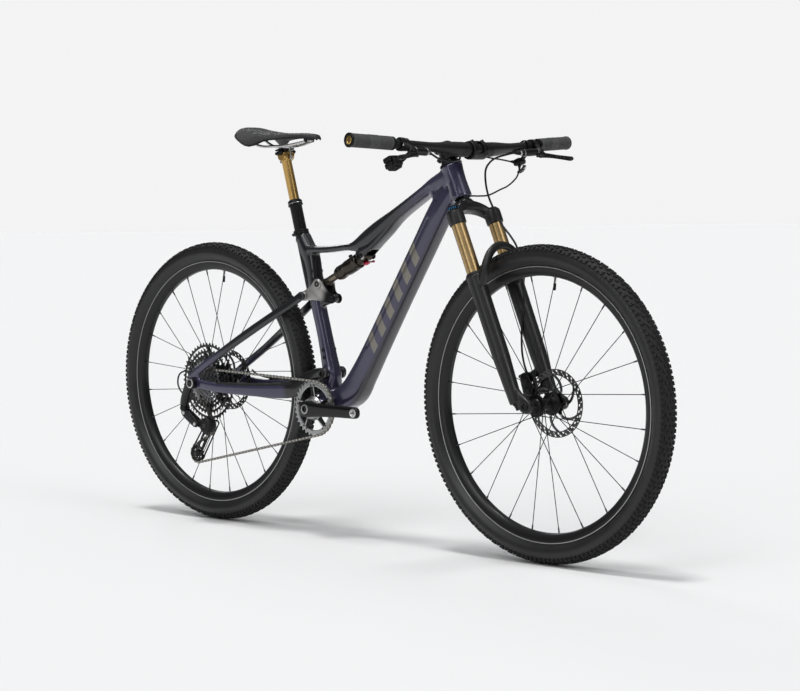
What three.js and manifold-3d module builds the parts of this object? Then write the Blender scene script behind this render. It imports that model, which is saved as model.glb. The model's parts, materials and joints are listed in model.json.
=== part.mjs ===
// Full-suspension cross-country mountain bike, 29 inch wheels, no pedals fitted.
// Millimetres. +X is forward, +Y is the rider's left, +Z is up, and the chain is on the -Y side.
// The origin is on the ground midway between the two axles.
import * as THREE from 'three';
import { mergeVertices } from 'three/addons/utils/BufferGeometryUtils.js';
import Module from 'manifold-3d';

const wasm = await Module();
wasm.setup();

// ---------------------------------------------------------------- driving dimensions
const WHEELBASE = 1140;
const TYRE_RADIUS = 370;
const TYRE_HALF_WIDTH = 30;
const RIM_OUTER = 319;
const RIM_INNER = 297;
const SPOKES = 24;
const FRONT_DISC_Y = 41;
const REAR_DISC_Y = 46;
const DISC_RADIUS = 80;
const DISC_GAP = 2.6;
const GAP = 0.3;

const HEAD_ANGLE = 67;
const FORK_OFFSET = 44;
const STANCHION_OFFSET = 20;
const STANCHION_SPREAD = 65;
const STANCHION_RADIUS = 17;
const AXLE_TO_CROWN = 528;
const LOWERS_TOP = 334;
const CROWN_BOTTOM = 460;

const BAR_REACH = 85;
const BAR_HEIGHT = 622;
const BAR_HALF_WIDTH = 380;
const GRIP_RADIUS = 16;
const GRIP_LENGTH = 130;

const BB = { x: -143, z: 325 };
const MAIN_PIVOT = { x: -130, z: 411 };
const STAY_PIVOT = { x: -205, z: 605 };
const ROCKER_PIVOT = { x: -116, z: 600 };
const SHOCK_REAR = { x: -153, z: 636 };
const SHOCK_FRONT = { x: -4, z: 707 };

const CRANK_LENGTH = 170;
const CHAIN_PITCH_RADIUS = 68.8;
const COG_PITCH_RADIUS = 36.6;
const PULLEY_PITCH_RADIUS = 24.5;
const CHAIN_PLANE = -52.5;
const CHAIN_WIDTH = 6;
const CHAIN_HALF_DEPTH = 3.4;
const GUIDE = { x: -548, z: 256 };
const TENSION = { x: -594, z: 179 };
const CAGE_PIVOT = { x: -527, z: 259 };

const REAR_X = -WHEELBASE / 2;
const FRONT_X = WHEELBASE / 2;
const RAKE = THREE.MathUtils.degToRad(90 - HEAD_ANGLE);

// The steering axis frame: its origin is the axis point nearest the front axle.
const STEER_ORIGIN = {
  x: FRONT_X - FORK_OFFSET * Math.cos(RAKE),
  z: TYRE_RADIUS - FORK_OFFSET * Math.sin(RAKE),
};

// The seat post axis passes through the clamp and leans back.
const SEAT_CLAMP = { x: -228, z: 738 };
const SEAT_ANGLE = 74.6;
const SEAT_LEAN = THREE.MathUtils.degToRad(90 - SEAT_ANGLE);
const POST_RADIUS = 15.8;

// ---------------------------------------------------------------- materials
const paint = (color, roughness, metalness) =>
  new THREE.MeshStandardMaterial({ color, roughness, metalness });
const MAT = {
  frame: paint(0x3d3a55, 0.3, 0.4),
  carbon: paint(0x2b2b2f, 0.4, 0.1),
  link: paint(0x9a9a9e, 0.35, 0.8),
  black: paint(0x151516, 0.45, 0.2),
  satin: paint(0x1d1d1f, 0.5, 0.6),
  gold: paint(0xb98a3a, 0.25, 1.0),
  steel: paint(0xb8b8ba, 0.3, 1.0),
  tyre: paint(0x1a1a1a, 0.9, 0.0),
  rubber: paint(0x303032, 0.85, 0.0),
  saddle: paint(0x26272a, 0.7, 0.0),
  red: paint(0x9a2030, 0.4, 0.5),
};

// ---------------------------------------------------------------- solid helpers
function toSolid(geometry) {
  let g = geometry.clone();
  g.deleteAttribute('normal');
  g.deleteAttribute('uv');
  g = mergeVertices(g, 1e-4);
  return new wasm.Manifold(new wasm.Mesh({
    numProp: 3,
    vertProperties: new Float32Array(g.attributes.position.array),
    triVerts: new Uint32Array(g.index.array),
  }));
}

function fromSolid(solid) {
  const mesh = solid.getMesh();
  const g = new THREE.BufferGeometry();
  g.setAttribute('position', new THREE.BufferAttribute(new Float32Array(mesh.vertProperties), 3));
  g.setIndex(new THREE.BufferAttribute(new Uint32Array(mesh.triVerts), 1));
  g.computeVertexNormals();
  return g;
}

function join(...parts) {
  return fromSolid(parts.map(toSolid).reduce((a, b) => a.add(b)));
}

function cut(body, ...tools) {
  return fromSolid(tools.map(toSolid).reduce((a, b) => a.subtract(b), toSolid(body)));
}

// A cylinder along Y, centred at (x, y, z).
function cylY(radius, length, x, y, z, sides = 16) {
  return new THREE.CylinderGeometry(radius, radius, length, sides).translate(x, y, z);
}

// A cylinder or cone along Z from z0 to z1.
function cylZ(r0, r1, z0, z1, x = 0, y = 0, sides = 16) {
  const g = new THREE.CylinderGeometry(r1, r0, z1 - z0, sides).rotateX(Math.PI / 2);
  return g.translate(x, y, (z0 + z1) / 2);
}

// A cylinder between two points.
function rod(a, b, radius, sides = 12) {
  const p = new THREE.Vector3(...a);
  const q = new THREE.Vector3(...b);
  const g = new THREE.CylinderGeometry(radius, radius, p.distanceTo(q), sides);
  const turn = new THREE.Quaternion().setFromUnitVectors(
    new THREE.Vector3(0, 1, 0), q.clone().sub(p).normalize());
  g.applyQuaternion(turn);
  const middle = p.add(q).multiplyScalar(0.5);
  return g.translate(middle.x, middle.y, middle.z);
}

function box(x0, x1, y0, y1, z0, z1) {
  const g = new THREE.BoxGeometry(x1 - x0, y1 - y0, z1 - z0);
  return g.translate((x0 + x1) / 2, (y0 + y1) / 2, (z0 + z1) / 2);
}

// A plate in the X-Z plane: the outline [[x, z], ...] extruded from y0 to y1.
function plate(outline, y0, y1, holes = []) {
  const shape = new THREE.Shape(outline.map(([x, z]) => new THREE.Vector2(x, z)));
  for (const hole of holes) {
    shape.holes.push(new THREE.Path(hole.map(([x, z]) => new THREE.Vector2(x, z))));
  }
  const g = new THREE.ExtrudeGeometry(shape, { depth: y1 - y0, bevelEnabled: false });
  return g.rotateX(Math.PI / 2).translate(0, y1, 0);
}

// A round tube of constant section along a smooth curve through the points.
function tube(points, radius, sides = 8, steps = 40) {
  const circle = new THREE.Shape();
  circle.absarc(0, 0, radius, 0, Math.PI * 2);
  const section = new THREE.Shape(circle.getPoints(sides).slice(0, sides));
  const curve = new THREE.CatmullRomCurve3(points.map((p) => new THREE.Vector3(...p)));
  return new THREE.ExtrudeGeometry(section, { steps, bevelEnabled: false, extrudePath: curve });
}

// A solid of revolution about the Y axis, from a closed profile of [radius, y] points.
function turned(profile, segments = 24) {
  const points = profile.map(([r, y]) => new THREE.Vector2(r, y));
  return new THREE.LatheGeometry([...points, points[0]], segments);
}

// A tapering tube lofted along stations in the X-Z plane.
// Each station is [x, y, z, halfDepth, halfWidth]: depth lies across the tube, width along Y.
function loft(stations, sides = 10, power = 2.4) {
  const rings = stations.map(([x, y, z, depth, width], i) => {
    const before = stations[Math.max(i - 1, 0)];
    const after = stations[Math.min(i + 1, stations.length - 1)];
    const along = new THREE.Vector2(after[0] - before[0], after[2] - before[2]).normalize();
    const ring = [];
    for (let k = 0; k < sides; k += 1) {
      const angle = ((k + 0.5) / sides) * Math.PI * 2;
      const c = Math.cos(angle);
      const s = Math.sin(angle);
      const u = Math.sign(c) * Math.abs(c) ** (2 / power) * width;
      const v = Math.sign(s) * Math.abs(s) ** (2 / power) * depth;
      ring.push(x - along.y * v, y + u, z + along.x * v);
    }
    return ring;
  });
  const position = rings.flat();
  const index = [];
  const last = rings.length - 1;
  for (let i = 0; i < last; i += 1) {
    for (let k = 0; k < sides; k += 1) {
      const a = i * sides + k;
      const b = i * sides + ((k + 1) % sides);
      index.push(a, b, a + sides, b, b + sides, a + sides);
    }
  }
  for (let k = 1; k < sides - 1; k += 1) {
    index.push(0, k + 1, k);
    index.push(last * sides, last * sides + k, last * sides + k + 1);
  }
  const g = new THREE.BufferGeometry();
  g.setAttribute('position', new THREE.Float32BufferAttribute(position, 3));
  g.setIndex(index);
  return g;
}

const mirrorY = (stations) => stations.map(([x, y, z, d, w]) => [x, -y, z, d, w]);

const part = new THREE.Group();

function add(parent, name, geometry, material) {
  const mesh = new THREE.Mesh(geometry, material);
  mesh.name = name;
  parent.add(mesh);
  return mesh;
}

// ---------------------------------------------------------------- front triangle
const SHELL_HALF_WIDTH = 46;
const HEAD_TUBE = { bottom: 534, top: 622, lower: 26, upper: 27 };

function inSteerFrame(geometry) {
  return geometry.rotateY(-RAKE).translate(STEER_ORIGIN.x, 0, STEER_ORIGIN.z);
}

function inSeatFrame(geometry) {
  return geometry.rotateY(-SEAT_LEAN).translate(SEAT_CLAMP.x, 0, SEAT_CLAMP.z);
}

function frontTriangle() {
  const downTube = loft([
    [290, 0, 868, 26, 22], [252, 0, 815, 28, 27], [191, 0, 723, 28, 27], [109, 0, 600, 28, 27],
    [27, 0, 475, 29, 28], [-16, 0, 412, 31, 30], [-58, 0, 362, 33, 34], [-143, 0, 326, 22, 40],
  ]);
  const topTube = loft([
    [280, 0, 895, 22, 24], [240, 0, 881, 17, 22], [201, 0, 859, 15, 22], [116, 0, 811, 16, 23],
    [62, 0, 776, 24, 24], [12, 0, 745, 26, 24], [-32, 0, 731, 13, 23], [-60, 0, 729, 9, 22],
    [-131, 0, 723, 9, 20], [-195, 0, 722, 9, 20],
  ]);
  const shockLug = loft([
    [36, 0, 744, 14, 24], [-2, 0, 716, 15, 24], [-20, 0, 706, 13, 23],
  ]);
  const seatTube = loft([
    [-233, 0, 757, 20, 20], [-217, 0, 726, 25, 20], [-203, 0, 700, 29, 19], [-194, 0, 657, 24, 19],
    [-184, 0, 610, 20, 19], [-176, 0, 569, 18.5, 18.5], [-163, 0, 531, 18.5, 18.5],
    [-147, 0, 494, 20, 20], [-134, 0, 434, 24, 22], [-131, 0, 400, 25, 22], [-138, 0, 340, 26, 32],
  ]);
  const headTube = inSteerFrame(
    cylZ(HEAD_TUBE.lower, HEAD_TUBE.upper, HEAD_TUBE.bottom, HEAD_TUBE.top, 0, 0, 24));
  const shell = cylY(24, 2 * SHELL_HALF_WIDTH, BB.x, 0, BB.z, 20);
  const rockerBracket = loft([
    [-172, 0, 590, 16, 12], [-140, 0, 596, 14, 12], [ROCKER_PIVOT.x, 0, ROCKER_PIVOT.z, 12, 12],
  ]);
  const rockerBoss = cylY(12, 39, ROCKER_PIVOT.x, 0, ROCKER_PIVOT.z);
  const body = join(downTube, topTube, shockLug, seatTube, headTube, shell, rockerBracket, rockerBoss);
  const steererBore = inSteerFrame(cylZ(18, 18, 500, 660, 0, 0, 20));
  const bearingSeat = inSteerFrame(cylZ(22, 22, 612, 660, 0, 0, 20));
  const postBore = inSeatFrame(cylZ(16.6, 16.6, -136, 60, 0, 0, 20));
  const shellBore = cylY(21, 200, BB.x, 0, BB.z, 20);
  const pivotBore = cylY(8.6, 200, MAIN_PIVOT.x, 0, MAIN_PIVOT.z, 12);
  const rockerBore = cylY(6.6, 200, ROCKER_PIVOT.x, 0, ROCKER_PIVOT.z, 12);
  const shockSlot = plate([[32, 723], [32, 688], [-60, 660], [-60, 716], [-8, 727]], -15.5, 15.5);
  return cut(body, steererBore, bearingSeat, postBore, shellBore, pivotBore, rockerBore, shockSlot);
}

add(part, 'front_triangle', frontTriangle(), MAT.frame);

const bottomBracket = turned([[15.4, -46], [20.4, -46], [20.4, 46], [15.4, 46]], 20);
add(part, 'bottom_bracket', bottomBracket, MAT.black).position.set(BB.x, 0, BB.z);

const seatGroup = new THREE.Group();
seatGroup.position.set(SEAT_CLAMP.x, 0, SEAT_CLAMP.z);
seatGroup.rotation.y = -SEAT_LEAN;
part.add(seatGroup);

// A lathe about Y turned so that its axis lies along Z.
const turnedZ = (profile, segments = 20) => turned(profile, segments).rotateX(Math.PI / 2);

const COLLAR_HEIGHT = 113;
const POST_TOP = 231;
add(seatGroup, 'seat_clamp', join(
  turnedZ([[16.6, 24], [20.5, 24], [20.5, 33], [16.6, 33]]),
  box(-30, -19, -9, 9, 25, 32),
), MAT.black);
add(seatGroup, 'dropper_outer_tube', turnedZ([
  [13.2, -132], [POST_RADIUS, -132], [POST_RADIUS, 104], [19, 106], [19, COLLAR_HEIGHT],
  [13.2, COLLAR_HEIGHT],
]), MAT.satin);

// The gold inner tube slides down inside the outer tube and carries the saddle clamp.
const postTube = cylZ(12.7, 12.7, -22, POST_TOP - 12, 0, 0, 16);
const postHead = cylY(15, 44, 2, 0, POST_TOP, 16);
const railCradle = box(-18, 20, -26, 26, POST_TOP + 6, POST_TOP + 15);
const clampScrew = rod([-15, 0, POST_TOP - 16], [-15, 0, POST_TOP + 8], 4, 10);
add(seatGroup, 'dropper_inner_tube', join(postTube, postHead, railCradle, clampScrew), MAT.gold);

// ---------------------------------------------------------------- saddle
const SADDLE = { nose: -166, tail: -420, railZ: 986, railY: 22 };

function saddleRails() {
  const side = (s) => tube([
    [-404, s * 34, 1006], [-385, s * 30, 996], [-350, s * SADDLE.railY, SADDLE.railZ],
    [-265, s * SADDLE.railY, SADDLE.railZ], [-215, s * 14, 993], [-196, s * 6, 998],
  ], 3.5, 6, 12);
  const bridge = cylY(4, 20, -199, 0, 997.5, 8);
  return join(side(1), side(-1), bridge);
}

// Plan half-width and height of the saddle from nose to tail.
const SADDLE_STATIONS = [
  [SADDLE.nose, 9, 1003], [-182, 16, 1006], [-215, 18, 1009], [-255, 22, 1010],
  [-295, 34, 1011], [-335, 54, 1014], [-375, 68, 1019], [-405, 71, 1024], [SADDLE.tail, 55, 1026],
];

// One layer of the saddle, whose sides droop towards the wings.
function saddleLayer(bottomDrop, topDrop, inset) {
  const across = [-1, -0.8, -0.45, 0, 0.45, 0.8, 1];
  const rings = SADDLE_STATIONS.map(([x, half, z]) => {
    const width = half - inset;
    const droop = 0.34 * half;
    const top = across.map((t) => [x, t * width, z - topDrop - droop * Math.abs(t) ** 3]);
    const bottom = across.map((t) => [x, t * (width - 1), z - bottomDrop - droop * Math.abs(t) ** 3]);
    return [...top, ...bottom.reverse()];
  });
  return ringsSolid(rings);
}

// Joins rings of equal length into one closed body.
function ringsSolid(rings) {
  const sides = rings[0].length;
  const position = rings.flat(2);
  const index = [];
  const last = rings.length - 1;
  for (let i = 0; i < last; i += 1) {
    for (let k = 0; k < sides; k += 1) {
      const a = i * sides + k;
      const b = i * sides + ((k + 1) % sides);
      index.push(a, b, a + sides, b, b + sides, a + sides);
    }
  }
  const half = sides / 2;
  for (const [start, flip] of [[0, false], [last * sides, true]]) {
    for (let k = 0; k < half - 1; k += 1) {
      const quad = [start + k, start + k + 1, start + sides - 2 - k, start + sides - 1 - k];
      if (flip) {
        index.push(quad[0], quad[1], quad[2], quad[0], quad[2], quad[3]);
      } else {
        index.push(quad[0], quad[2], quad[1], quad[0], quad[3], quad[2]);
      }
    }
  }
  const g = new THREE.BufferGeometry();
  g.setAttribute('position', new THREE.Float32BufferAttribute(position, 3));
  g.setIndex(index);
  return g;
}

add(part, 'saddle_rails', saddleRails(), MAT.satin);
add(part, 'saddle_shell', saddleLayer(1, -3, 3), MAT.black);
add(part, 'saddle_pad', saddleLayer(-3.4, -12, 0), MAT.saddle);

// ---------------------------------------------------------------- steering assembly
const steer = new THREE.Group();
steer.position.set(STEER_ORIGIN.x, 0, STEER_ORIGIN.z);
steer.rotation.y = -RAKE;
part.add(steer);

function mirroredPair(make) {
  for (const [side, name] of [[1, 'left'], [-1, 'right']]) {
    make(side, name);
  }
}

function forkCrown() {
  const steerer = cylZ(14.3, 14.3, 520, 660, 0, 0, 20);
  const race = cylZ(24, 20, 519, AXLE_TO_CROWN, 0, 0, 20);
  const socket = (s) => cylZ(20.5, 20.5, CROWN_BOTTOM, 497, STANCHION_OFFSET, s * STANCHION_SPREAD, 20);
  const arch = [
    [-76, 490], [-60, 496.8], [-51.4, 496.8], [-43, 511], [-28, 521], [0, 525], [28, 521],
    [43, 511], [51.4, 496.8], [60, 496.8], [76, 490], [74, 470],
    [52, 470], [36, 488], [15, 499], [0, 501], [-15, 499], [-36, 488], [-52, 470], [-74, 470],
  ];
  const bridge = new THREE.ExtrudeGeometry(
    new THREE.Shape(arch.map(([y, z]) => new THREE.Vector2(y, z))), { depth: 34, bevelEnabled: false });
  bridge.rotateX(Math.PI / 2).rotateZ(Math.PI / 2).translate(-4, 0, 0);
  return join(steerer, race, bridge, socket(1), socket(-1));
}

add(steer, 'fork_crown', forkCrown(), MAT.black);
mirroredPair((s, name) => {
  add(steer, `stanchion_${name}`,
    cylZ(STANCHION_RADIUS, STANCHION_RADIUS, 228, CROWN_BOTTOM - GAP, 0, 0, 16), MAT.gold)
    .position.set(STANCHION_OFFSET, s * STANCHION_SPREAD, 0);
});

// The upper headset bearing and its cover stay with the frame.
add(steer, 'headset_upper', turnedZ([
  [14.9, 613], [21.6, 613], [21.6, 622.3], [27, 622.3], [23, 627], [19, 631], [14.9, 631],
]), MAT.black);

function stem() {
  const clampHeight = 42;
  const steererClamp = cylZ(20, 20, 632.6, 632.6 + clampHeight, 0, 0, 20);
  const arm = loft([[0, 0, 653, 18, 18], [40, 0, 644, 15, 16], [BAR_REACH - 18, 0, 630, 15, 20]]);
  const barClamp = cylY(22, 52, BAR_REACH, 0, BAR_HEIGHT, 20);
  const capTop = cylZ(17, 14, 674, 680, 0, 0, 20);
  const body = join(steererClamp, arm, barClamp, capTop);
  const boltGap = box(BAR_REACH + 8, BAR_REACH + 60, -9, 9, BAR_HEIGHT - 13, BAR_HEIGHT + 13);
  const barBore = cylY(18.4, 80, BAR_REACH, 0, BAR_HEIGHT, 16);
  return cut(body, cylZ(15, 15, 600, 661, 0, 0, 20), barBore, boltGap);
}

add(steer, 'stem', stem(), MAT.black);

// The bar sweeps up and back from the clamp to the grips.
const BAR_TIP = { reach: 58.6, height: 656 };
const barPoint = (t) => {
  const bend = THREE.MathUtils.smoothstep(Math.abs(t), 0.05, 1) * 0.35 + 0.65 * Math.abs(t);
  return [
    BAR_REACH + (BAR_TIP.reach - BAR_REACH) * bend,
    t * BAR_HALF_WIDTH,
    BAR_HEIGHT + (BAR_TIP.height - BAR_HEIGHT) * bend,
  ];
};
const BAR_STEPS = [-1, -0.82, -0.62, -0.4, -0.2, -0.08, 0, 0.08, 0.2, 0.4, 0.62, 0.82, 1];

function handlebar() {
  const core = tube(BAR_STEPS.map((t) => barPoint(t * 0.985)), 11, 10, 20);
  const middle = cylY(17.2, 110, BAR_REACH, 0, BAR_HEIGHT, 12);
  const taper = (s) => rod([BAR_REACH, s * 54, BAR_HEIGHT], barPoint(s * 0.3), 13.6, 8);
  return join(core, middle, taper(1), taper(-1));
}

add(steer, 'handlebar', handlebar(), MAT.black);

// A frame at a point of the bar, with its Y axis along the bar.
function barFrame(t) {
  const group = new THREE.Group();
  const p = new THREE.Vector3(...barPoint(t));
  const ahead = new THREE.Vector3(...barPoint(t + 0.01)).sub(p).normalize();
  group.position.copy(p);
  group.quaternion.setFromUnitVectors(new THREE.Vector3(0, 1, 0), ahead);
  steer.add(group);
  return group;
}

mirroredPair((s, name) => {
  const middle = BAR_HALF_WIDTH - GRIP_LENGTH / 2 + 1;
  const grip = barFrame((s * middle) / BAR_HALF_WIDTH);
  const length = GRIP_LENGTH;
  const inner = -length / 2;
  const profile = [
    [12.3, inner], [15, inner], [15, inner + 8], [GRIP_RADIUS, inner + 9], [GRIP_RADIUS, length / 2 - 6],
    [17, length / 2 - 5], [17, length / 2], [0, length / 2], [0, length / 2 - 3.5],
    [12.3, length / 2 - 3.5],
  ];
  const geometry = turned(profile, 12);
  if (s < 0) {
    geometry.rotateX(Math.PI);
  }
  add(grip, `grip_${name}`, geometry, MAT.rubber);
});

// Brake levers: clamp ring, master cylinder along the bar, and a blade on its own pivot.
const LEVER = { clamp: 228, pivot: [96, 222, 611], tip: [113, 300, 588], inner: 160 };

mirroredPair((s, name) => {
  const c = barPoint((s * LEVER.clamp) / BAR_HALF_WIDTH);
  const ring = cut(cylY(16, 13, c[0], c[1], c[2], 16), cylY(12.2, 40, c[0], c[1], c[2], 16));
  const arm = rod([c[0] + 14, c[1], c[2] - 6], [93, s * 218, 616], 7, 10);
  const cylinder = rod([82, s * LEVER.inner, 617], [92, s * 232, 617], 9.5, 12);
  add(steer, `brake_lever_body_${name}`, join(ring, arm, cylinder), MAT.satin);
  const blade = loft([
    [96, s * 208, 604, 4, 5], [101, s * 232, 600, 3.5, 6], [107, s * 262, 596, 3, 6],
    [112, s * 290, 590, 3.4, 6], [LEVER.tip[0] + 3, s * LEVER.tip[1], LEVER.tip[2], 3.6, 4],
  ], 8);
  add(steer, `brake_blade_${name}`, blade, MAT.satin);
});

// Shifter pod under the right side of the bar, with two push buttons in a pocket of its outer end.
const POD = { x: 44, y: -243, z: 610 };
const podBody = join(
  box(POD.x - 17, POD.x + 17, POD.y - 15, POD.y + 17, POD.z - 17, POD.z + 14),
  rod([POD.x + 6, POD.y + 27, POD.z + 4], [POD.x, POD.y, POD.z], 8, 10),
  rod([POD.x + 6, POD.y + 27, POD.z + 4], [72, POD.y + 27, 617], 5, 10),
);
const buttonPocket = box(POD.x - 13, POD.x + 13, POD.y - 16, POD.y - 12.5, POD.z - 16, POD.z + 12);
add(steer, 'shifter_pod', cut(podBody, buttonPocket), MAT.satin);
add(steer, 'shift_button_up',
  box(POD.x - 12, POD.x + 12, POD.y - 21, POD.y - 15.5, POD.z - 1, POD.z + 11), MAT.black);
add(steer, 'shift_button_down',
  box(POD.x - 12, POD.x + 12, POD.y - 21, POD.y - 15.5, POD.z - 15, POD.z - 3), MAT.black);

// Dropper and lockout remote under the left side of the bar.
const REMOTE = { x: 46, y: 196, z: 612 };
add(steer, 'remote_body', join(
  box(REMOTE.x - 13, REMOTE.x + 11, REMOTE.y - 13, REMOTE.y + 11, REMOTE.z - 9, REMOTE.z + 7),
  rod([REMOTE.x + 4, REMOTE.y, REMOTE.z], [64, REMOTE.y + 4, 620], 5, 10),
), MAT.satin);
add(steer, 'remote_lever', loft([
  [REMOTE.x - 1, REMOTE.y + 11, REMOTE.z - 15, 3, 6], [REMOTE.x - 16, REMOTE.y + 15, REMOTE.z - 17, 3, 7],
  [REMOTE.x - 30, REMOTE.y + 20, REMOTE.z - 16, 3, 6],
], 8), MAT.satin);

// The damper knob on the right leg is pulled round by the lockout cable.
add(steer, 'fork_adjuster', join(
  cylZ(13, 12, 497.4, 505, 0, 0, 12), cylZ(7, 6, 504, 509, 0, 0, 12),
), MAT.black).position.set(STANCHION_OFFSET, -STANCHION_SPREAD, 0);

// Hoses and cables, each held at both ends.
const FRONT_HOSE = [
  [80, 159, 617.5], [76, 146, 620], [67, 125, 619], [59, 102, 616], [50, 84, 609], [42, 68, 593],
  [38, 58, 565], [37, 52, 531], [40, 50, 500], [49, 49, 451], [68, 45, 410], [80, 40, 376],
  [72, 42, 340], [56, 48, 295], [44, 45, 250], [24, 42.5, 215], [8, 41.5, 180], [-6, 42, 145], [-13, 44, 115],
  [-15, 47, 97.5],
];
const LOCKOUT_CABLE = [
  [46, 190, 602], [47, 184, 592], [44, 166, 570], [37, 135, 552], [34, 105, 543], [32, 60, 530],
  [32, 25, 528], [32, -8, 528], [31, -36, 521], [28, -51, 512], [26, -57, 507],
];
const REMOTE_CABLE = [
  [38, 182.5, 614], [40, 168, 614], [47, 125, 616], [54, 80, 617], [61, 46, 619], [64, 28, 622],
];
const REAR_HOSE = [
  [81.6, -159.5, 616.5], [78, -146, 614], [70, -118, 607], [66, -85, 603], [64, -56, 604],
  [60, -36, 610], [54, -24, 618],
];
add(steer, 'front_brake_hose', tube(FRONT_HOSE, 2.5, 6, 44), MAT.black);
add(steer, 'lockout_cable', tube(LOCKOUT_CABLE, 2, 6, 24), MAT.black);
add(steer, 'remote_cable', tube(REMOTE_CABLE, 2, 6, 12), MAT.black);
add(steer, 'rear_brake_hose', tube(REAR_HOSE, 2.5, 6, 12), MAT.black);

// ---------------------------------------------------------------- fork lowers
function forkLowers() {
  const leg = (s) => {
    const y = s * STANCHION_SPREAD;
    const body = [
      cylZ(20, 21.5, 120, LOWERS_TOP, STANCHION_OFFSET, y, 16),
      cylZ(16, 20, 18, 120, STANCHION_OFFSET, y, 16),
      box(12, 62, s > 0 ? 55.6 : -71, s > 0 ? 71 : -55.6, -17, 34),
    ];
    return body;
  };
  const arch = new THREE.CatmullRomCurve3([
    [36, -66, 306], [54, -65, 332], [64, -52, 361], [68, -28, 382], [69, 0, 387],
    [68, 28, 382], [64, 52, 361], [54, 65, 332], [36, 66, 306],
  ].map((p) => new THREE.Vector3(...p)));
  const section = new THREE.Shape([[-7, -10], [7, -10], [7, 10], [-7, 10]]
    .map(([a, b]) => new THREE.Vector2(a, b)));
  const brace = new THREE.ExtrudeGeometry(section, { steps: 18, bevelEnabled: false, extrudePath: arch });
  const body = join(...leg(1), ...leg(-1), brace);
  const bores = [1, -1].map((s) =>
    cylZ(17.9, 17.9, 104, 400, STANCHION_OFFSET, s * STANCHION_SPREAD, 16));
  return cut(body, ...bores, cylY(7.6, 200, FORK_OFFSET, 0, 0, 16));
}

add(steer, 'fork_lowers', forkLowers(), MAT.black);
add(steer, 'front_axle', join(cylY(6.8, 146, FORK_OFFSET, 0, 0, 16), cylY(9.5, 4, FORK_OFFSET, -73.5, 0, 12)),
  MAT.satin);

function frontCaliper() {
  const body = rod([-20, 45, 38], [-14, 45, 92], 14, 12);
  const mount = box(-14, 0.5, 46.5, 60, 44, 96);
  const discSlot = box(-60, 60, FRONT_DISC_Y - DISC_GAP, FRONT_DISC_Y + DISC_GAP, 0, 130);
  const bridge = box(-34, -28, 34, 50, 45, 86);
  return join(cut(join(body, mount), discSlot), bridge);
}

add(steer, 'front_caliper', frontCaliper(), MAT.satin);

// ---------------------------------------------------------------- wheels
const WHEEL_SEGMENTS = 36;

function tyre() {
  const major = TYRE_RADIUS - TYRE_HALF_WIDTH;
  const profile = [];
  const arcs = 6;
  for (let k = 0; k <= arcs; k += 1) {
    const a = -Math.PI / 2 + (Math.PI * k) / arcs;
    profile.push([major + TYRE_HALF_WIDTH * Math.cos(a), TYRE_HALF_WIDTH * Math.sin(a)]);
  }
  profile.push([RIM_OUTER + 1, 17], [RIM_OUTER + 1, -17]);
  return turned(profile, WHEEL_SEGMENTS);
}

// The rim and its spokes, laced towards two flanges and ending just short of the hub.
const SPOKE_START = 30;
function spokedRim(flangeRight, flangeLeft) {
  const rim = turned([
    [RIM_INNER, -6], [RIM_INNER + 5, -14], [RIM_OUTER, -17], [RIM_OUTER, 17], [RIM_INNER + 5, 14],
    [RIM_INNER, 6],
  ], WHEEL_SEGMENTS);
  const step = (Math.PI * 2) / SPOKES;
  const spokes = [];
  for (let k = 0; k < SPOKES; k += 1) {
    const a = (k + 0.5) * step;
    const y = k % 2 === 0 ? flangeLeft : flangeRight;
    const tangent = (k % 4 < 2 ? 1 : -1) * THREE.MathUtils.degToRad(62);
    const b = a + tangent;
    spokes.push(rod(
      [SPOKE_START * Math.cos(b), y, SPOKE_START * Math.sin(b)],
      [(RIM_INNER + 3) * Math.cos(a), y * 0.08, (RIM_INNER + 3) * Math.sin(a)],
      1.5, 3,
    ));
  }
  return join(rim, ...spokes);
}

function hub(ends, flangeRight, flangeLeft, extra) {
  const bore = 7.6;
  const outline = [
    [bore, -ends], [13, -ends], [13, flangeRight - 10], [17, flangeRight - 3], [26.8, flangeRight - 2],
    [26.8, flangeRight + 2], [15, flangeRight + 6], [15, flangeLeft - 6], [26.8, flangeLeft - 2],
    [26.8, flangeLeft + 2], [17, flangeLeft + 4], [13, flangeLeft + 8], [13, ends], [bore, ends],
  ];
  return extra ? join(turned(outline, 16), extra) : turned(outline, 16);
}

// Brake disc: a braking ring on six slanted arms around a centre ring.
function brakeDisc(y) {
  const face = turned([[17.6, y - 1], [DISC_RADIUS, y - 1], [DISC_RADIUS, y + 1], [17.6, y + 1]], 28);
  const arms = 6;
  const windows = [];
  for (let k = 0; k < arms; k += 1) {
    const a = (k * Math.PI * 2) / arms;
    const polar = (r, angle) => [r * Math.cos(angle), r * Math.sin(angle)];
    windows.push(plate([
      polar(27, a + 0.12), polar(64, a - 0.28), polar(65, a - 0.02), polar(65, a + 0.24),
      polar(64, a + 0.5), polar(27, a + 0.72),
    ], y - 5, y + 5));
  }
  return cut(face, ...windows);
}

function wheel(prefix, x, ends, flangeRight, flangeLeft, discY, extra) {
  const group = new THREE.Group();
  group.position.set(x, 0, TYRE_RADIUS);
  part.add(group);
  add(group, `${prefix}_tyre`, tyre(), MAT.tyre);
  add(group, `${prefix}_rim`, spokedRim(flangeRight, flangeLeft), MAT.black);
  add(group, `${prefix}_hub`, hub(ends, flangeRight, flangeLeft, extra), MAT.satin);
  add(group, `${prefix}_rotor`, brakeDisc(discY), MAT.steel);
  return group;
}

wheel('front', FRONT_X, 55, -30, 24, FRONT_DISC_Y);
const freehub = turned([[7.6, -73.8], [16.4, -73.8], [16.4, -26], [7.6, -26]], 16);
const rearWheel = wheel('rear', REAR_X, 73.8, -22, 30, REAR_DISC_Y, freehub);

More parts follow.
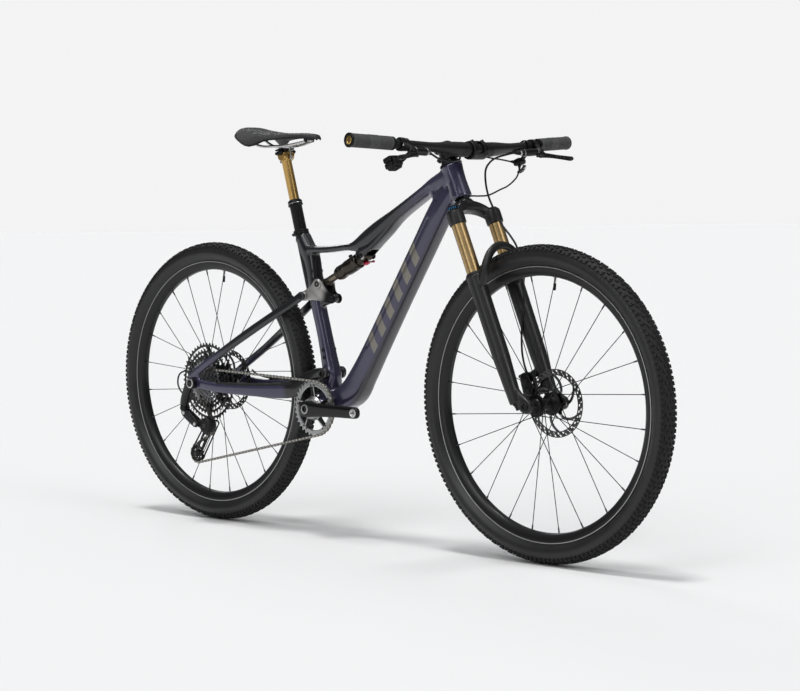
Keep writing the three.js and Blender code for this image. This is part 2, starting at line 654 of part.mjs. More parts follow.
function cassette() {
  const steps = [
    [-64, -48.8, 31.8], [-48.8, -45, 43], [-45, -41.5, 52], [-41.5, -38, 64], [-38, -33, 80],
    [-33, -28.5, 107],
  ];
  const profile = [[17.6, -64]];
  for (const [y0, y1, r] of steps) {
    profile.push([r, y0], [r, y1]);
  }
  profile.push([17.6, -28.5]);
  return turned(profile, 24);
}

add(rearWheel, 'cassette', cassette(), MAT.steel);

// ---------------------------------------------------------------- rear triangle
const CHAINSTAY = [
  [-583, -80, 371, 15, 5], [-545, -80, 367, 13, 5.4], [-480, -78, 362, 13, 7.5],
  [-369, -69, 361, 16, 8.5], [-270, -50, 362, 20, 8], [-225, -43.2, 370, 21, 7],
  [-185, -37, 394, 19, 7], [-150, -31.5, 409, 16, 7], [-124, -31, 411, 14, 7],
];
const STAY_STUB = [
  [-589, -80, 382, 12, 5], [-565, -79.5, 398, 11, 5.5], [-531.4, -78.5, 417.2, 10, 6],
];
const SEATSTAY = [
  [-529.2, -78.4, 418.5, 10, 6], [-460, -74, 458, 10, 6.5], [-370, -62, 510, 11, 7],
  [-280, -47, 561, 11, 6.5], [-235, -37, 587, 11, 5], [STAY_PIVOT.x, -32.5, STAY_PIVOT.z, 11, 4.7],
];

function chainstays() {
  const dropout = (s) => join(
    cylY(17, 9, REAR_X, s * 80.2, TYRE_RADIUS, 16),
    plate([[-592, 360], [-556, 356], [-548, 376], [-560, 406], [-590, 396]], s * 80 - 4, s * 80 + 4),
  );
  const bridge = box(-192, -180, -40, 40, 380, 405);
  const pivotAxle = cylY(8, 74, MAIN_PIVOT.x, 0, MAIN_PIVOT.z, 12);
  const wheelAxle = cylY(6.8, 168, REAR_X, 0, TYRE_RADIUS, 16);
  return join(
    loft(CHAINSTAY), loft(mirrorY(CHAINSTAY)), loft(STAY_STUB), loft(mirrorY(STAY_STUB)),
    dropout(1), dropout(-1), bridge, pivotAxle, wheelAxle,
  );
}

add(part, 'chainstays', chainstays(), MAT.frame);
mirroredPair((s, name) => {
  const boss = cylY(11.5, 9, STAY_PIVOT.x, s * 32.6, STAY_PIVOT.z, 16);
  const stay = loft(s < 0 ? SEATSTAY : mirrorY(SEATSTAY));
  add(part, `seatstay_${name}`, join(stay, boss), MAT.carbon);
});

function rearCaliper() {
  const body = rod([-520, 46, 424], [-478, 46, 404], 13, 12);
  const mount = box(-530, -478, 52, 73, 386, 402);
  const discSlot = plate([[-600, 380], [-600, 470], [-400, 430], [-400, 380]],
    REAR_DISC_Y - DISC_GAP, REAR_DISC_Y + DISC_GAP);
  const shoulder = rod([-512, 57, 432], [-480, 57, 416], 6, 8);
  const cover = plate([[-518, 433.5], [-474, 412.5], [-470, 421], [-514, 443]], 36, 60);
  return join(cut(join(body, mount, shoulder), discSlot), cover);
}

add(part, 'rear_caliper', rearCaliper(), MAT.satin);

// ---------------------------------------------------------------- rocker link and shock
function rockerLink() {
  const outline = [
    [-218, 601], [-214, 613], [-205, 617], [-176, 633], [-161, 648], [-148, 648], [-139, 638],
    [-122, 614], [-105, 607], [-103, 594], [-111, 587], [-126, 588], [-160, 594], [-207, 593],
  ];
  const arm = (s) => plate(outline, s > 0 ? 20.6 : -27, s > 0 ? 27 : -20.6);
  const pivotPin = cylY(6, 48, ROCKER_PIVOT.x, 0, ROCKER_PIVOT.z, 12);
  const stub = (s) => cylY(8, 9, SHOCK_REAR.x, s * 17.5, SHOCK_REAR.z, 12);
  return join(arm(1), arm(-1), pivotPin, stub(1), stub(-1));
}

add(part, 'rocker_link', rockerLink(), MAT.link);

const shockLength = Math.hypot(SHOCK_FRONT.x - SHOCK_REAR.x, SHOCK_FRONT.z - SHOCK_REAR.z);
const shockTilt = Math.atan2(SHOCK_FRONT.z - SHOCK_REAR.z, SHOCK_FRONT.x - SHOCK_REAR.x);

// The shock's own frame has +X along the shaft from the rear eye to the front eye.
const shock = new THREE.Group();
shock.position.set(SHOCK_REAR.x, 0, SHOCK_REAR.z);
shock.rotation.y = -shockTilt;
part.add(shock);

// A lathe about Y turned so that its axis lies along X.
const turnedX = (profile, segments = 20) => turned(profile, segments).rotateZ(-Math.PI / 2);

const CAN = { back: 56, front: 140, radius: 19 };
function shockBody() {
  const can = turnedX([
    [0, CAN.front], [0, CAN.back + 62], [7.6, CAN.back + 62], [7.6, CAN.back], [16, CAN.back],
    [CAN.radius - 1, CAN.back + 5], [CAN.radius, CAN.back + 40], [CAN.radius, CAN.front],
  ]);
  const head = box(CAN.front - 2, shockLength + 2, -12.5, 12.5, -14, 14);
  const eye = cylY(12, 27, shockLength, 0, 0, 16);
  return join(can, head, eye);
}

add(shock, 'shock_body', shockBody(), MAT.black);
add(shock, 'shock_shaft', join(
  turnedX([[0, 0], [6.6, 0], [6.6, CAN.back + 12], [0, CAN.back + 12]], 14),
  cylY(10, 25, 0, 0, 0, 16),
), MAT.satin);
// The lockout dial under the shock's head, with the arm that its cable pulls.
const DIAL_X = shockLength - 5;
add(shock, 'shock_lever', join(
  cylZ(8, 8, -20, -14.3, DIAL_X, 0, 12),
  rod([DIAL_X, 0, -17], [DIAL_X + 25, -3, -24], 2.4, 8),
  cylY(4, 7, DIAL_X + 25, -3, -24, 10),
), MAT.red);

// ---------------------------------------------------------------- cranks and chainring
const crank = new THREE.Group();
crank.position.set(BB.x, 0, BB.z);
part.add(crank);

const RING_RADIUS = 64;
function chainring() {
  const rim = turned([[15.6, -54], [RING_RADIUS, -54], [RING_RADIUS, -51], [15.6, -51]], 28);
  const carrier = turned([[15.6, -69.6], [26, -69.6], [32, -54], [15.6, -54]], 20);
  const windows = [];
  const count = 5;
  for (let k = 0; k < count; k += 1) {
    const a = ((k + 0.3) * Math.PI * 2) / count;
    const polar = (r, angle) => [r * Math.cos(angle), r * Math.sin(angle)];
    windows.push(plate([
      polar(36, a + 0.16), polar(54, a + 0.1), polar(55, a + 0.5), polar(54, a + 0.94), polar(36, a + 0.9),
    ], -60, -40));
  }
  return cut(join(rim, carrier), ...windows);
}

add(crank, 'chainring', chainring(), MAT.steel);

function crankArm(direction, yInner, yOuter) {
  const middle = (yInner + yOuter) / 2;
  const half = Math.abs(yOuter - yInner) / 2;
  const arm = loft([
    [direction * -20, middle, 0, 13, half - 1], [direction * -12, middle, 0, 19, half],
    [0, middle, 0, 21, half], [direction * 24, middle, 0, 18.5, half],
    [direction * (CRANK_LENGTH - 20), middle, 0, 15, half - 1.5],
    [direction * (CRANK_LENGTH + 4), middle, 0, 14.5, half - 1.5],
    [direction * (CRANK_LENGTH + 14), middle, 0, 9, half - 3],
  ], 12, 3.2);
  return cut(arm, cylY(7, 60, direction * CRANK_LENGTH, middle, 0, 12));
}

const AXLE_RADIUS = 14.6;
const crankAxle = cylY(AXLE_RADIUS, 138, 0, -0.8, 0, 20);
add(crank, 'crank_arm_right', crankArm(1, -70.2, -87), MAT.satin);
add(crank, 'crank_arm_left', join(crankArm(-1, 66, 84), crankAxle), MAT.satin);

// ---------------------------------------------------------------- derailleur
add(part, 'derailleur_body', join(
  cylY(15, 12, REAR_X, -91.6, TYRE_RADIUS, 16),
  loft([[-572, -93.4, 372, 13, 6], [-590, -91.5, 345, 14, 6.5], [-604, -88, 316, 14, 9],
    [-604, -86, 304, 11, 9]], 10),
), MAT.satin);
add(part, 'derailleur_link', loft([
  [-600, -84, 289, 11, 8], [-572, -82, 272, 12, 9], [-556, -81, 263, 10, 9],
], 10), MAT.satin);
add(part, 'derailleur_knuckle', join(
  cylY(20, 26, CAGE_PIVOT.x, -76, CAGE_PIVOT.z, 16),
  box(-545, -527, -88, -72, 250, 272),
), MAT.black);

function cage() {
  const outline = (grow) => {
    const points = [];
    const lobes = [
      [CAGE_PIVOT, 13, 20, 130], [GUIDE, 13, 130, 190], [TENSION, 15, 150, 330],
    ];
    for (const [c, r, from, to] of lobes) {
      for (let k = 0; k <= 4; k += 1) {
        const a = THREE.MathUtils.degToRad(from + ((to - from) * k) / 4);
        points.push([c.x + (r + grow) * Math.cos(a), c.z + (r + grow) * Math.sin(a)]);
      }
    }
    return points;
  };
  const outer = plate(outline(0), -61.5, -59);
  const inner = plate(outline(0), -46, -43.5);
  const pins = [GUIDE, TENSION].map((c) => cylY(3.4, 16, c.x, -52.5, c.z, 10));
  return join(outer, inner, ...pins);
}

function pulley() {
  const tooth = PULLEY_PITCH_RADIUS - 4.4;
  return turned([[4.2, -54.5], [tooth, -54.5], [tooth, -50.5], [4.2, -50.5]], 20);
}

add(part, 'derailleur_cage', cage(), MAT.satin);
add(part, 'guide_pulley', pulley(), MAT.black).position.set(GUIDE.x, 0, GUIDE.z);
add(part, 'tension_pulley', pulley(), MAT.black).position.set(TENSION.x, 0, TENSION.z);

// ---------------------------------------------------------------- chain
// The wheels that the chain passes, in order, with +1 where it runs clockwise seen from the right.
const CHAIN_WHEELS = [
  { x: BB.x, z: BB.z, r: CHAIN_PITCH_RADIUS, turn: 1 },
  { x: TENSION.x, z: TENSION.z, r: PULLEY_PITCH_RADIUS, turn: 1 },
  { x: GUIDE.x, z: GUIDE.z, r: PULLEY_PITCH_RADIUS, turn: -1 },
  { x: REAR_X, z: TYRE_RADIUS, r: COG_PITCH_RADIUS, turn: 1 },
];

// The straight run from one wheel to the next, tangent to both.
function tangentRun(a, b) {
  const dx = b.x - a.x;
  const dz = b.z - a.z;
  const distance = Math.hypot(dx, dz);
  const lean = Math.atan2(dz, dx) - Math.asin((a.turn * a.r - b.turn * b.r) / distance);
  const normal = [-Math.sin(lean), Math.cos(lean)];
  return {
    from: [a.x + normal[0] * a.r * a.turn, a.z + normal[1] * a.r * a.turn],
    to: [b.x + normal[0] * b.r * b.turn, b.z + normal[1] * b.r * b.turn],
  };
}

// The chain's centre line as a closed polygon, with the outward normal of each point.
function chainLine() {
  const count = CHAIN_WHEELS.length;
  const runs = CHAIN_WHEELS.map((w, i) => tangentRun(w, CHAIN_WHEELS[(i + 1) % count]));
  const line = [];
  CHAIN_WHEELS.forEach((w, i) => {
    const into = runs[(i + count - 1) % count].to;
    const out = runs[i].from;
    const a0 = Math.atan2(into[1] - w.z, into[0] - w.x);
    let a1 = Math.atan2(out[1] - w.z, out[0] - w.x);
    if (w.turn > 0 && a1 > a0) {
      a1 -= Math.PI * 2;
    }
    if (w.turn < 0 && a1 < a0) {
      a1 += Math.PI * 2;
    }
    const steps = Math.max(2, Math.ceil(Math.abs(a1 - a0) / 0.3));
    for (let k = 0; k <= steps; k += 1) {
      const a = a0 + ((a1 - a0) * k) / steps;
      line.push({
        x: w.x + w.r * Math.cos(a), z: w.z + w.r * Math.sin(a),
        nx: w.turn * Math.cos(a), nz: w.turn * Math.sin(a),
      });
    }
  });
  return line;
}

const line = chainLine();
const chainSide = (offset) => line.map((p) => [p.x + p.nx * offset, p.z + p.nz * offset]);
const chain = plate(chainSide(CHAIN_HALF_DEPTH), CHAIN_PLANE - CHAIN_WIDTH / 2,
  CHAIN_PLANE + CHAIN_WIDTH / 2, [chainSide(-CHAIN_HALF_DEPTH).reverse()]);
add(part, 'chain', chain, MAT.steel);

export default part;
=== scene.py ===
"""Full-suspension mountain bike: the looks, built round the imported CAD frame.

Every shape is written in millimetres and scaled into the row frame's metres when its piece is made.
Row frame: +X forward, +Y to the rider's left, +Z up, origin on the ground midway between the axles.
"""

import json
import math

import bmesh
import bpy
from mathutils import Matrix, Vector


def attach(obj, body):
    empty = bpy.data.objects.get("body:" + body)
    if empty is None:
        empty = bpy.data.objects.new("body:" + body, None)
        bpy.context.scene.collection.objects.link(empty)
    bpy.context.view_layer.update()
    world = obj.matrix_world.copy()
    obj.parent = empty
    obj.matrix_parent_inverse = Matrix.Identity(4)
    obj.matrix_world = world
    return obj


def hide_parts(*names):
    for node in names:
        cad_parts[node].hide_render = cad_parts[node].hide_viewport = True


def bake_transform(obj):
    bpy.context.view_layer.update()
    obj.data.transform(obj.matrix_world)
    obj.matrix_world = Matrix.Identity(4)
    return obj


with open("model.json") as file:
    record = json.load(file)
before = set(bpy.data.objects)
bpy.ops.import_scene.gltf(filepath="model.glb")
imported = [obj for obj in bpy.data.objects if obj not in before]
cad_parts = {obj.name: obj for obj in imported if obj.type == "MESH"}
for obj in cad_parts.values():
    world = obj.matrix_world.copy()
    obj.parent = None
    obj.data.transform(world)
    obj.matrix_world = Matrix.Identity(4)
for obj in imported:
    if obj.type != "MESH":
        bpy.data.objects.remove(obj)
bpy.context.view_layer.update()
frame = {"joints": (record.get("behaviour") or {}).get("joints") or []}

MM = 0.001

# ------------------------------------------------------------------ sizes and places
JOINTS = {joint["name"]: joint for joint in frame["joints"]}


def joint_point(name):
    """A hinge's point in millimetres."""
    return Vector(JOINTS[name]["pos_m"]) / MM


def joint_axis(name):
    return Vector(JOINTS[name]["axis"]).normalized()


def local_frame(origin, x=None, z=None):
    """A matrix from a local frame in millimetres to the row frame in metres, with local Y along row Y."""
    y = Vector((0, 1, 0))
    if x is None:
        x = y.cross(z)
    else:
        z = x.cross(y)
    turn = Matrix((x.normalized(), y, z.normalized())).transposed().to_4x4()
    return Matrix.Scale(MM, 4) @ Matrix.Translation(origin) @ turn


FRONT_AXLE = joint_point("front_wheel_spin")
REAR_AXLE = joint_point("rear_wheel_spin")
BB = joint_point("crank_spin")
MAIN_PIVOT = joint_point("rear_suspension")
STAY_FLEX = joint_point("seatstay_flex")
ROCKER_PIVOT = joint_point("rocker_pivot")
SHOCK_FRONT = joint_point("shock_tilt")
CAGE_PIVOT = joint_point("cage_pivot")
GUIDE = joint_point("guide_pulley_spin")
TENSION = joint_point("tension_pulley_spin")
STAY_PIVOT = Vector((-205, 0, 605))
SHOCK_REAR = Vector((-153, 0, 636))
SEAT_CLAMP = Vector((-228, 0, 738))
SHOCK_LENGTH = (SHOCK_FRONT - SHOCK_REAR).length

ROW = Matrix.Scale(MM, 4)
STEER = local_frame(joint_point("steering"), z=joint_axis("steering"))
SEAT = local_frame(SEAT_CLAMP, z=joint_axis("dropper_travel"))
SHOCK = local_frame(SHOCK_REAR, x=joint_axis("shock_stroke"))
FRONT_WHEEL = local_frame(FRONT_AXLE, x=Vector((1, 0, 0)))
REAR_WHEEL = local_frame(REAR_AXLE, x=Vector((1, 0, 0)))
CRANK = local_frame(BB, x=Vector((1, 0, 0)))

TYRE_RADIUS = 370
TYRE_HALF_WIDTH = 30
TREAD_PITCHES = 172
RIM_OUTER = 319
RIM_INNER = 297
SPOKES = 24
HOOP_SEGMENTS = 144
STANCHION_X = 20
STANCHION_Y = 65
FORK_OFFSET = 44
BAR_REACH = 85
BAR_HEIGHT = 622
BAR_HALF_WIDTH = 380
GRIP_LENGTH = 130
LEVER_PLACE = 228
CRANK_LENGTH = 170
CHAINRING_TEETH = 34
CHAIN_PITCH = 12.7
CHAIN_PLANE = -52.5

# ------------------------------------------------------------------ camera, light and floor
CAMERA = {
    "place": (3.77600, -3.78176, 0.84630),
    "ahead": (-0.694494, 0.716316, -0.067595),
    "roll": math.radians(-0.78586),
    "lens": 97.15,
}


def make_camera():
    data = bpy.data.cameras.new("camera")
    data.sensor_width = 36
    data.lens = CAMERA["lens"]
    data.clip_end = 200
    camera = bpy.data.objects.new("camera", data)
    ahead = Vector(CAMERA["ahead"]).normalized()
    level = ahead.cross(Vector((0, 0, 1))).normalized()
    upright = level.cross(ahead)
    right = level * math.cos(CAMERA["roll"]) + upright * math.sin(CAMERA["roll"])
    up = right.cross(ahead)
    camera.matrix_world = Matrix((right, up, -ahead)).transposed().to_4x4()
    camera.location = CAMERA["place"]
    bpy.context.scene.collection.objects.link(camera)
    bpy.context.scene.camera = camera


def sun(name, direction, strength, softness):
    """A far soft light that shines along a direction."""
    data = bpy.data.lights.new(name, "SUN")
    data.energy = strength
    data.angle = math.radians(softness)
    light = bpy.data.objects.new(name, data)
    light.rotation_euler = Vector(direction).to_track_quat("-Z", "Y").to_euler()
    light.location = -Vector(direction).normalized() * 6
    bpy.context.scene.collection.objects.link(light)


BACKDROP = 0.9
ROOM_LIGHT = 0.13
PANEL_LIGHT = 0.4
FRONT_STRIP = 1.5
SIDE_STRIP = 1.9
STRIP_HALF = 0.2
PAPER = 0.735


def room_light(tree):
    """The room's brightness by direction: dim walls, a panel overhead and two upright strip lights."""
    towards = tree.nodes.new("ShaderNodeTexCoord").outputs["Generated"]
    split = tree.nodes.new("ShaderNodeSeparateXYZ")
    tree.links.new(towards, split.inputs[0])
    x, y, z = split.outputs

    def ramp(value, low, high, start, end):
        made = tree.nodes.new("ShaderNodeMapRange")
        made.interpolation_type = "SMOOTHSTEP"
        tree.links.new(value, made.inputs["Value"])
        for slot, number in zip(("From Min", "From Max", "To Min", "To Max"), (low, high, start, end)):
            made.inputs[slot].default_value = number
        return made.outputs["Result"]

    def combine(operation, a, b):
        made = tree.nodes.new("ShaderNodeMath")
        made.operation = operation
        for slot, value in zip(made.inputs, (a, b)):
            if isinstance(value, (int, float)):
                slot.default_value = value
            else:
                tree.links.new(value, slot)
        return made.outputs[0]

    def strip(beside, ahead, strength):
        narrow = ramp(combine("ABSOLUTE", beside, 0), STRIP_HALF * 0.6, STRIP_HALF, strength, 0.0)
        in_front = ramp(ahead, 0.3, 0.5, 0.0, 1.0)
        low_part = ramp(z, -0.1, 0.0, 0.0, 1.0)
        return combine("MULTIPLY", combine("MULTIPLY", narrow, in_front), low_part)

    total = combine("ADD", ramp(z, 0.35, 0.8, ROOM_LIGHT, PANEL_LIGHT), strip(y, x, FRONT_STRIP))
    return combine("ADD", total, strip(x, combine("MULTIPLY", y, -1.0), SIDE_STRIP))


def make_studio():
    scene = bpy.context.scene
    scene.view_settings.view_transform = "Standard"
    scene.view_settings.look = "None"
    world = bpy.data.worlds.new("studio")
    world.use_nodes = True
    tree = world.node_tree
    backdrop = tree.nodes["Background"]
    backdrop.inputs["Color"].default_value = (1, 1, 1, 1)
    backdrop.inputs["Strength"].default_value = BACKDROP
    room = tree.nodes.new("ShaderNodeBackground")
    room.inputs["Color"].default_value = (0.97, 0.98, 1.0, 1)
    tree.links.new(room_light(tree), room.inputs["Strength"])
    # The backdrop is bright where it is seen, and the room that lights the bike is dimmer.
    seen = tree.nodes.new("ShaderNodeLightPath")
    choose = tree.nodes.new("ShaderNodeMixShader")
    tree.links.new(seen.outputs["Is Camera Ray"], choose.inputs[0])
    tree.links.new(room.outputs[0], choose.inputs[1])
    tree.links.new(backdrop.outputs[0], choose.inputs[2])
    tree.links.new(choose.outputs[0], tree.nodes["World Output"].inputs["Surface"])
    scene.world = world
    sun("top", (0.06, 0.10, -1.0), 1.6, 12)
    sun("key", (-0.35, 0.85, -1.0), 0.55, 26)
    sun("side", (-1.0, 0.05, -0.45), 0.30, 12)
    sun("back", (0.85, -0.45, -0.55), 0.35, 14)
    paper = bpy.data.materials.new("paper")
    paper.use_nodes = True
    shade = paper.node_tree.nodes["Principled BSDF"]
    shade.inputs["Base Color"].default_value = (PAPER, PAPER, PAPER, 1)
    shade.inputs["Roughness"].default_value = 1.0
    shade.inputs["Specular IOR Level"].default_value = 0.0
    bpy.ops.mesh.primitive_circle_add(vertices=96, radius=60, fill_type="NGON", location=(0, 0, -0.0005))
    floor = bpy.context.object
    floor.name = "floor"
    floor.data.materials.append(paper)


make_camera()
make_studio()


# ------------------------------------------------------------------ materials
class Surface:
    """A Principled material with its procedural detail in object coordinates, in metres."""

    def __init__(self, name, colour, rough, metal=0.0, coat=0.0, specular=0.5, coat_rough=0.08):
        self.material = bpy.data.materials.new(name)
        self.material.use_nodes = True
        self.tree = self.material.node_tree
        self.shader = self.tree.nodes["Principled BSDF"]
        self.shader.inputs["Base Color"].default_value = (*colour, 1)
        self.shader.inputs["Roughness"].default_value = rough
        self.shader.inputs["Metallic"].default_value = metal
        self.shader.inputs["Coat Weight"].default_value = coat
        self.shader.inputs["Coat Roughness"].default_value = coat_rough
        self.shader.inputs["Specular IOR Level"].default_value = specular
        self.place = self.node("ShaderNodeTexCoord").outputs["Object"]
        self.colour = None
        self.height = None
        self.base = colour

    def node(self, kind, **settings):
        made = self.tree.nodes.new(kind)
        for key, value in settings.items():
            setattr(made, key, value)
        return made

    def link(self, source, target):
        self.tree.links.new(source, target)

    def math(self, operation, a, b=0.5, c=0.5):
        made = self.node("ShaderNodeMath", operation=operation)
        for slot, value in zip(made.inputs, (a, b, c)):
            if isinstance(value, (int, float)):
                slot.default_value = value
            else:
                self.link(value, slot)
        return made.outputs[0]

    def axis(self, which):
        split = self.node("ShaderNodeSeparateXYZ")
        self.link(self.place, split.inputs[0])
        return split.outputs[which]

    def along(self, direction, offset=0.0):
        """The distance along a direction of the row frame, less an offset, in metres."""
        dot = self.node("ShaderNodeVectorMath", operation="DOT_PRODUCT")
        self.link(self.place, dot.inputs[0])
        dot.inputs[1].default_value = direction
        return self.math("SUBTRACT", dot.outputs["Value"], offset)

    def step(self, value, start, end):
        """0 below start, 1 above end and smooth between them."""
        ramp = self.node("ShaderNodeMapRange", interpolation_type="SMOOTHSTEP")
        self.link(value, ramp.inputs["Value"])
        ramp.inputs["From Min"].default_value = start
        ramp.inputs["From Max"].default_value = end
        return ramp.outputs["Result"]

    def noise(self, scale, detail=3.0, stretch=(1, 1, 1)):
        mapping = self.node("ShaderNodeMapping")
        mapping.inputs["Scale"].default_value = stretch
        self.link(self.place, mapping.inputs["Vector"])
        made = self.node("ShaderNodeTexNoise")
        made.inputs["Scale"].default_value = scale
        made.inputs["Detail"].default_value = detail
        self.link(mapping.outputs[0], made.inputs["Vector"])
        return made.outputs["Fac"]

    def voronoi(self, scale, feature="F1"):
        made = self.node("ShaderNodeTexVoronoi", feature=feature)
        made.inputs["Scale"].default_value = scale
        self.link(self.place, made.inputs["Vector"])
        return made

    def wave(self, scale, direction):
        made = self.node("ShaderNodeTexWave", bands_direction=direction)
        made.inputs["Scale"].default_value = scale
        self.link(self.place, made.inputs["Vector"])
        return made.outputs["Fac"]

    def mix(self, colour, mask):
        """Lays another colour over what is there, where the mask is 1."""
        made = self.node("ShaderNodeMix", data_type="RGBA")
        if self.colour is None:
            made.inputs[6].default_value = (*self.base, 1)
        else:
            self.link(self.colour, made.inputs[6])
        made.inputs[7].default_value = (*colour, 1)
        self.link(mask, made.inputs[0])
        self.colour = made.outputs[2]
        return self

    def worn_and_highlit_edges(self, colour, amount=0.5, start=0.54, end=0.62):
        """Lightens convex edges to another colour: rubbed metal and a painted edge highlight."""
        edge = self.step(self.node("ShaderNodeNewGeometry").outputs["Pointiness"], start, end)
        patchy = self.step(self.noise(160), 0.35, 0.65)
        return self.mix(colour, self.math("MULTIPLY", self.math("MULTIPLY", edge, patchy), amount))

    def mottled(self, amount=0.25, scale=40):
        """Darkens and lightens the colour a little from place to place."""
        darker = tuple(c * (1 - amount) for c in self.base)
        return self.mix(darker, self.noise(scale, 4))

    def rough_between(self, low, high, scale=60, stretch=(1, 1, 1)):
        ramp = self.node("ShaderNodeMapRange")
        self.link(self.noise(scale, 4, stretch), ramp.inputs["Value"])
        ramp.inputs["From Min"].default_value = 0.3
        ramp.inputs["From Max"].default_value = 0.7
        ramp.inputs["To Min"].default_value = low
        ramp.inputs["To Max"].default_value = high
        self.link(ramp.outputs["Result"], self.shader.inputs["Roughness"])
        return self

    def bump(self, height, distance, strength=0.5):
        made = self.node("ShaderNodeBump")
        made.inputs["Strength"].default_value = strength
        made.inputs["Distance"].default_value = distance
        self.link(height, made.inputs["Height"])
        if self.height is not None:
            self.link(self.height, made.inputs["Normal"])
        self.height = made.outputs["Normal"]
        return self

    def done(self):
        if self.colour is not None:
            self.link(self.colour, self.shader.inputs["Base Color"])
        if self.height is not None:
            self.link(self.height, self.shader.inputs["Normal"])
        return self.material


PURPLE = (0.029, 0.026, 0.057)
CARBON_GREY = (0.009, 0.010, 0.012)
WEAVE_BLACK = (0.006, 0.006, 0.0065)
BLACK_PAINT = (0.006, 0.006, 0.007)
BRONZE = (0.17, 0.155, 0.13)


def flaked(name, metal, coat_rough, flake_colour):
    """Lacquer over purple with metal flake."""
    s = Surface(name, PURPLE, 0.30, metal=metal, coat=0.9, coat_rough=coat_rough)
    flake = s.step(s.voronoi(2600).outputs["Distance"], 0.0, 0.5)
    return s.mix(flake_colour, s.math("MULTIPLY", flake, 0.4))


def frame_paint(name):
    """Deep purple flake, with bare carbon at the top tube, the seat cluster and under the down tube, and
    painted shade on the seat tube's front face.
    """
    s = flaked(name, 0.5, 0.12, (0.085, 0.077, 0.150))
    # Bare carbon: the top tube behind its front end, and the seat tube above the link.
    across = s.along((0.832, 0, -0.555), -0.2415)
    above = s.step(s.math("MULTIPLY", across, -1.0), 0.030, 0.046)
    high = s.step(s.along((0.17, 0, 1.0), 0.575), -0.015, 0.015)
    behind_head = s.math("SUBTRACT", 1.0, s.step(s.axis("X"), 0.09, 0.25))
    s.mix(CARBON_GREY, s.math("MULTIPLY", s.math("MULTIPLY", above, high), behind_head))
    away = s.node("ShaderNodeVectorMath", operation="DISTANCE")
    s.link(s.place, away.inputs[0])
    away.inputs[1].default_value = (-0.120, 0.0, 0.598)
    bracket = s.math("SUBTRACT", 1.0, s.step(away.outputs["Value"], 0.034, 0.048))
    s.mix(BLACK_PAINT, bracket)
    # Painted shade: the seat tube's faces above the link that turn forwards are darkened to near black,
    # in place of the shadow that falls there.
    turned = s.node("ShaderNodeSeparateXYZ")
    s.link(s.node("ShaderNodeNewGeometry").outputs["Normal"], turned.inputs[0])
    # Faces turned forwards, which take the painted shade.
    shaded_front_face = s.step(turned.outputs["X"], 0.45, 0.72)
    upper_tube = s.math("MULTIPLY", s.step(s.axis("Z"), 0.60, 0.63),
                        s.math("SUBTRACT", 1.0, s.step(s.axis("Z"), 0.710, 0.716)))
    upper_tube = s.math("MULTIPLY", upper_tube, s.math("SUBTRACT", 1.0,
                                                       s.step(s.axis("X"), -0.150, -0.140)))
    s.mix((0.003, 0.003, 0.0035), s.math("MULTIPLY", upper_tube, shaded_front_face))
    # The lower face of the down tube.
    under = s.step(s.along((0.832, 0, -0.555), -0.228), 0.002, 0.016)
    low = s.math("SUBTRACT", 1.0, s.step(s.axis("Z"), 0.74, 0.84))
    s.mix((0.026, 0.025, 0.024), s.math("MULTIPLY", s.math("MULTIPLY", under, low), 0.85))
    s.mix((0.006, 0.005, 0.016), s.math("MULTIPLY", s.noise(9), 0.35))
    s.bump(s.noise(900, 2), 0.00008, 0.25)
    return s


def striped_frame_paint():
    """The frame's paint with generic slanted bars along both sides of the down tube."""
    s = frame_paint("frame_paint_striped")
    along = s.along((0.555, 0, 0.832), 0.0)
    across = s.along((0.832, 0, -0.555), -0.2435)
    slanted = s.math("ADD", along, s.math("MULTIPLY", across, 0.55))
    repeat = s.math("FRACT", s.math("MULTIPLY", slanted, 1 / 0.052))
    bar = s.math("MULTIPLY", s.step(repeat, 0.14, 0.16),
                 s.math("SUBTRACT", 1.0, s.step(repeat, 0.66, 0.68)))
    band = s.math("SUBTRACT", 1.0, s.step(s.math("ABSOLUTE", across), 0.0205, 0.0215))
    first = s.step(slanted, 0.426, 0.428)
    last = s.math("SUBTRACT", 1.0, s.step(slanted, 0.727, 0.729))
    side = s.step(s.math("ABSOLUTE", s.axis("Y")), 0.012, 0.015)
    mask = s.math("MULTIPLY", s.math("MULTIPLY", bar, band), s.math("MULTIPLY", first, last))
    s.mix(BRONZE, s.math("MULTIPLY", mask, side))
    return s.done()


def stay_paint(name, purple_behind):
    """Purple stays, grey ahead of the given place, or with none given, black at the main pivot."""
    s = flaked(name, 0.45, 0.05, (0.060, 0.054, 0.115))
    if purple_behind is not None:
        s.mix(CARBON_GREY, s.step(s.axis("X"), purple_behind - 0.07, purple_behind + 0.05))
    else:
        s.mix(BLACK_PAINT, s.step(s.axis("X"), -0.262, -0.240))
    s.bump(s.noise(900, 2), 0.00008, 0.25)
    return s.done()


def carbon():
    """Woven carbon under lacquer."""
    s = Surface("carbon", WEAVE_BLACK, 0.36, coat=0.12, coat_rough=0.15, specular=0.25)
    check = s.math("MULTIPLY", s.wave(190, "DIAGONAL"), s.wave(190, "X"))
    s.mix(tuple(c * 2.2 for c in WEAVE_BLACK), s.math("MULTIPLY", check, 0.5))
    s.bump(s.noise(500), 0.00005, 0.3)
    return s.done()


def coating(name, colour, rough, mottle, grain, edge_wear_and_highlight=0.0, vary=None, stretch=(1, 1, 1), detail=2,
            **shine):
    """A coat of one colour, with its detail in object coordinates.

    mottle is (amount, scale), grain is (scale, depth, strength) and vary is (less, more, scale) for the
    roughness. wear lightens the edges, as rubbing and as a painted edge highlight.
    """
    s = Surface(name, colour, rough, **shine)
    s.mottled(*mottle)
    if edge_wear_and_highlight:
        # Convex edges lightened: rubbed metal and a painted edge highlight.
        s.worn_and_highlit_edges((0.10, 0.10, 0.105), edge_wear_and_highlight)
    if vary:
        less, more, scale = vary
        s.rough_between(rough - less, rough + more, scale, stretch)
    scale, depth, strength = grain
    s.bump(s.noise(scale, detail, stretch), depth, strength)
    return s.done()


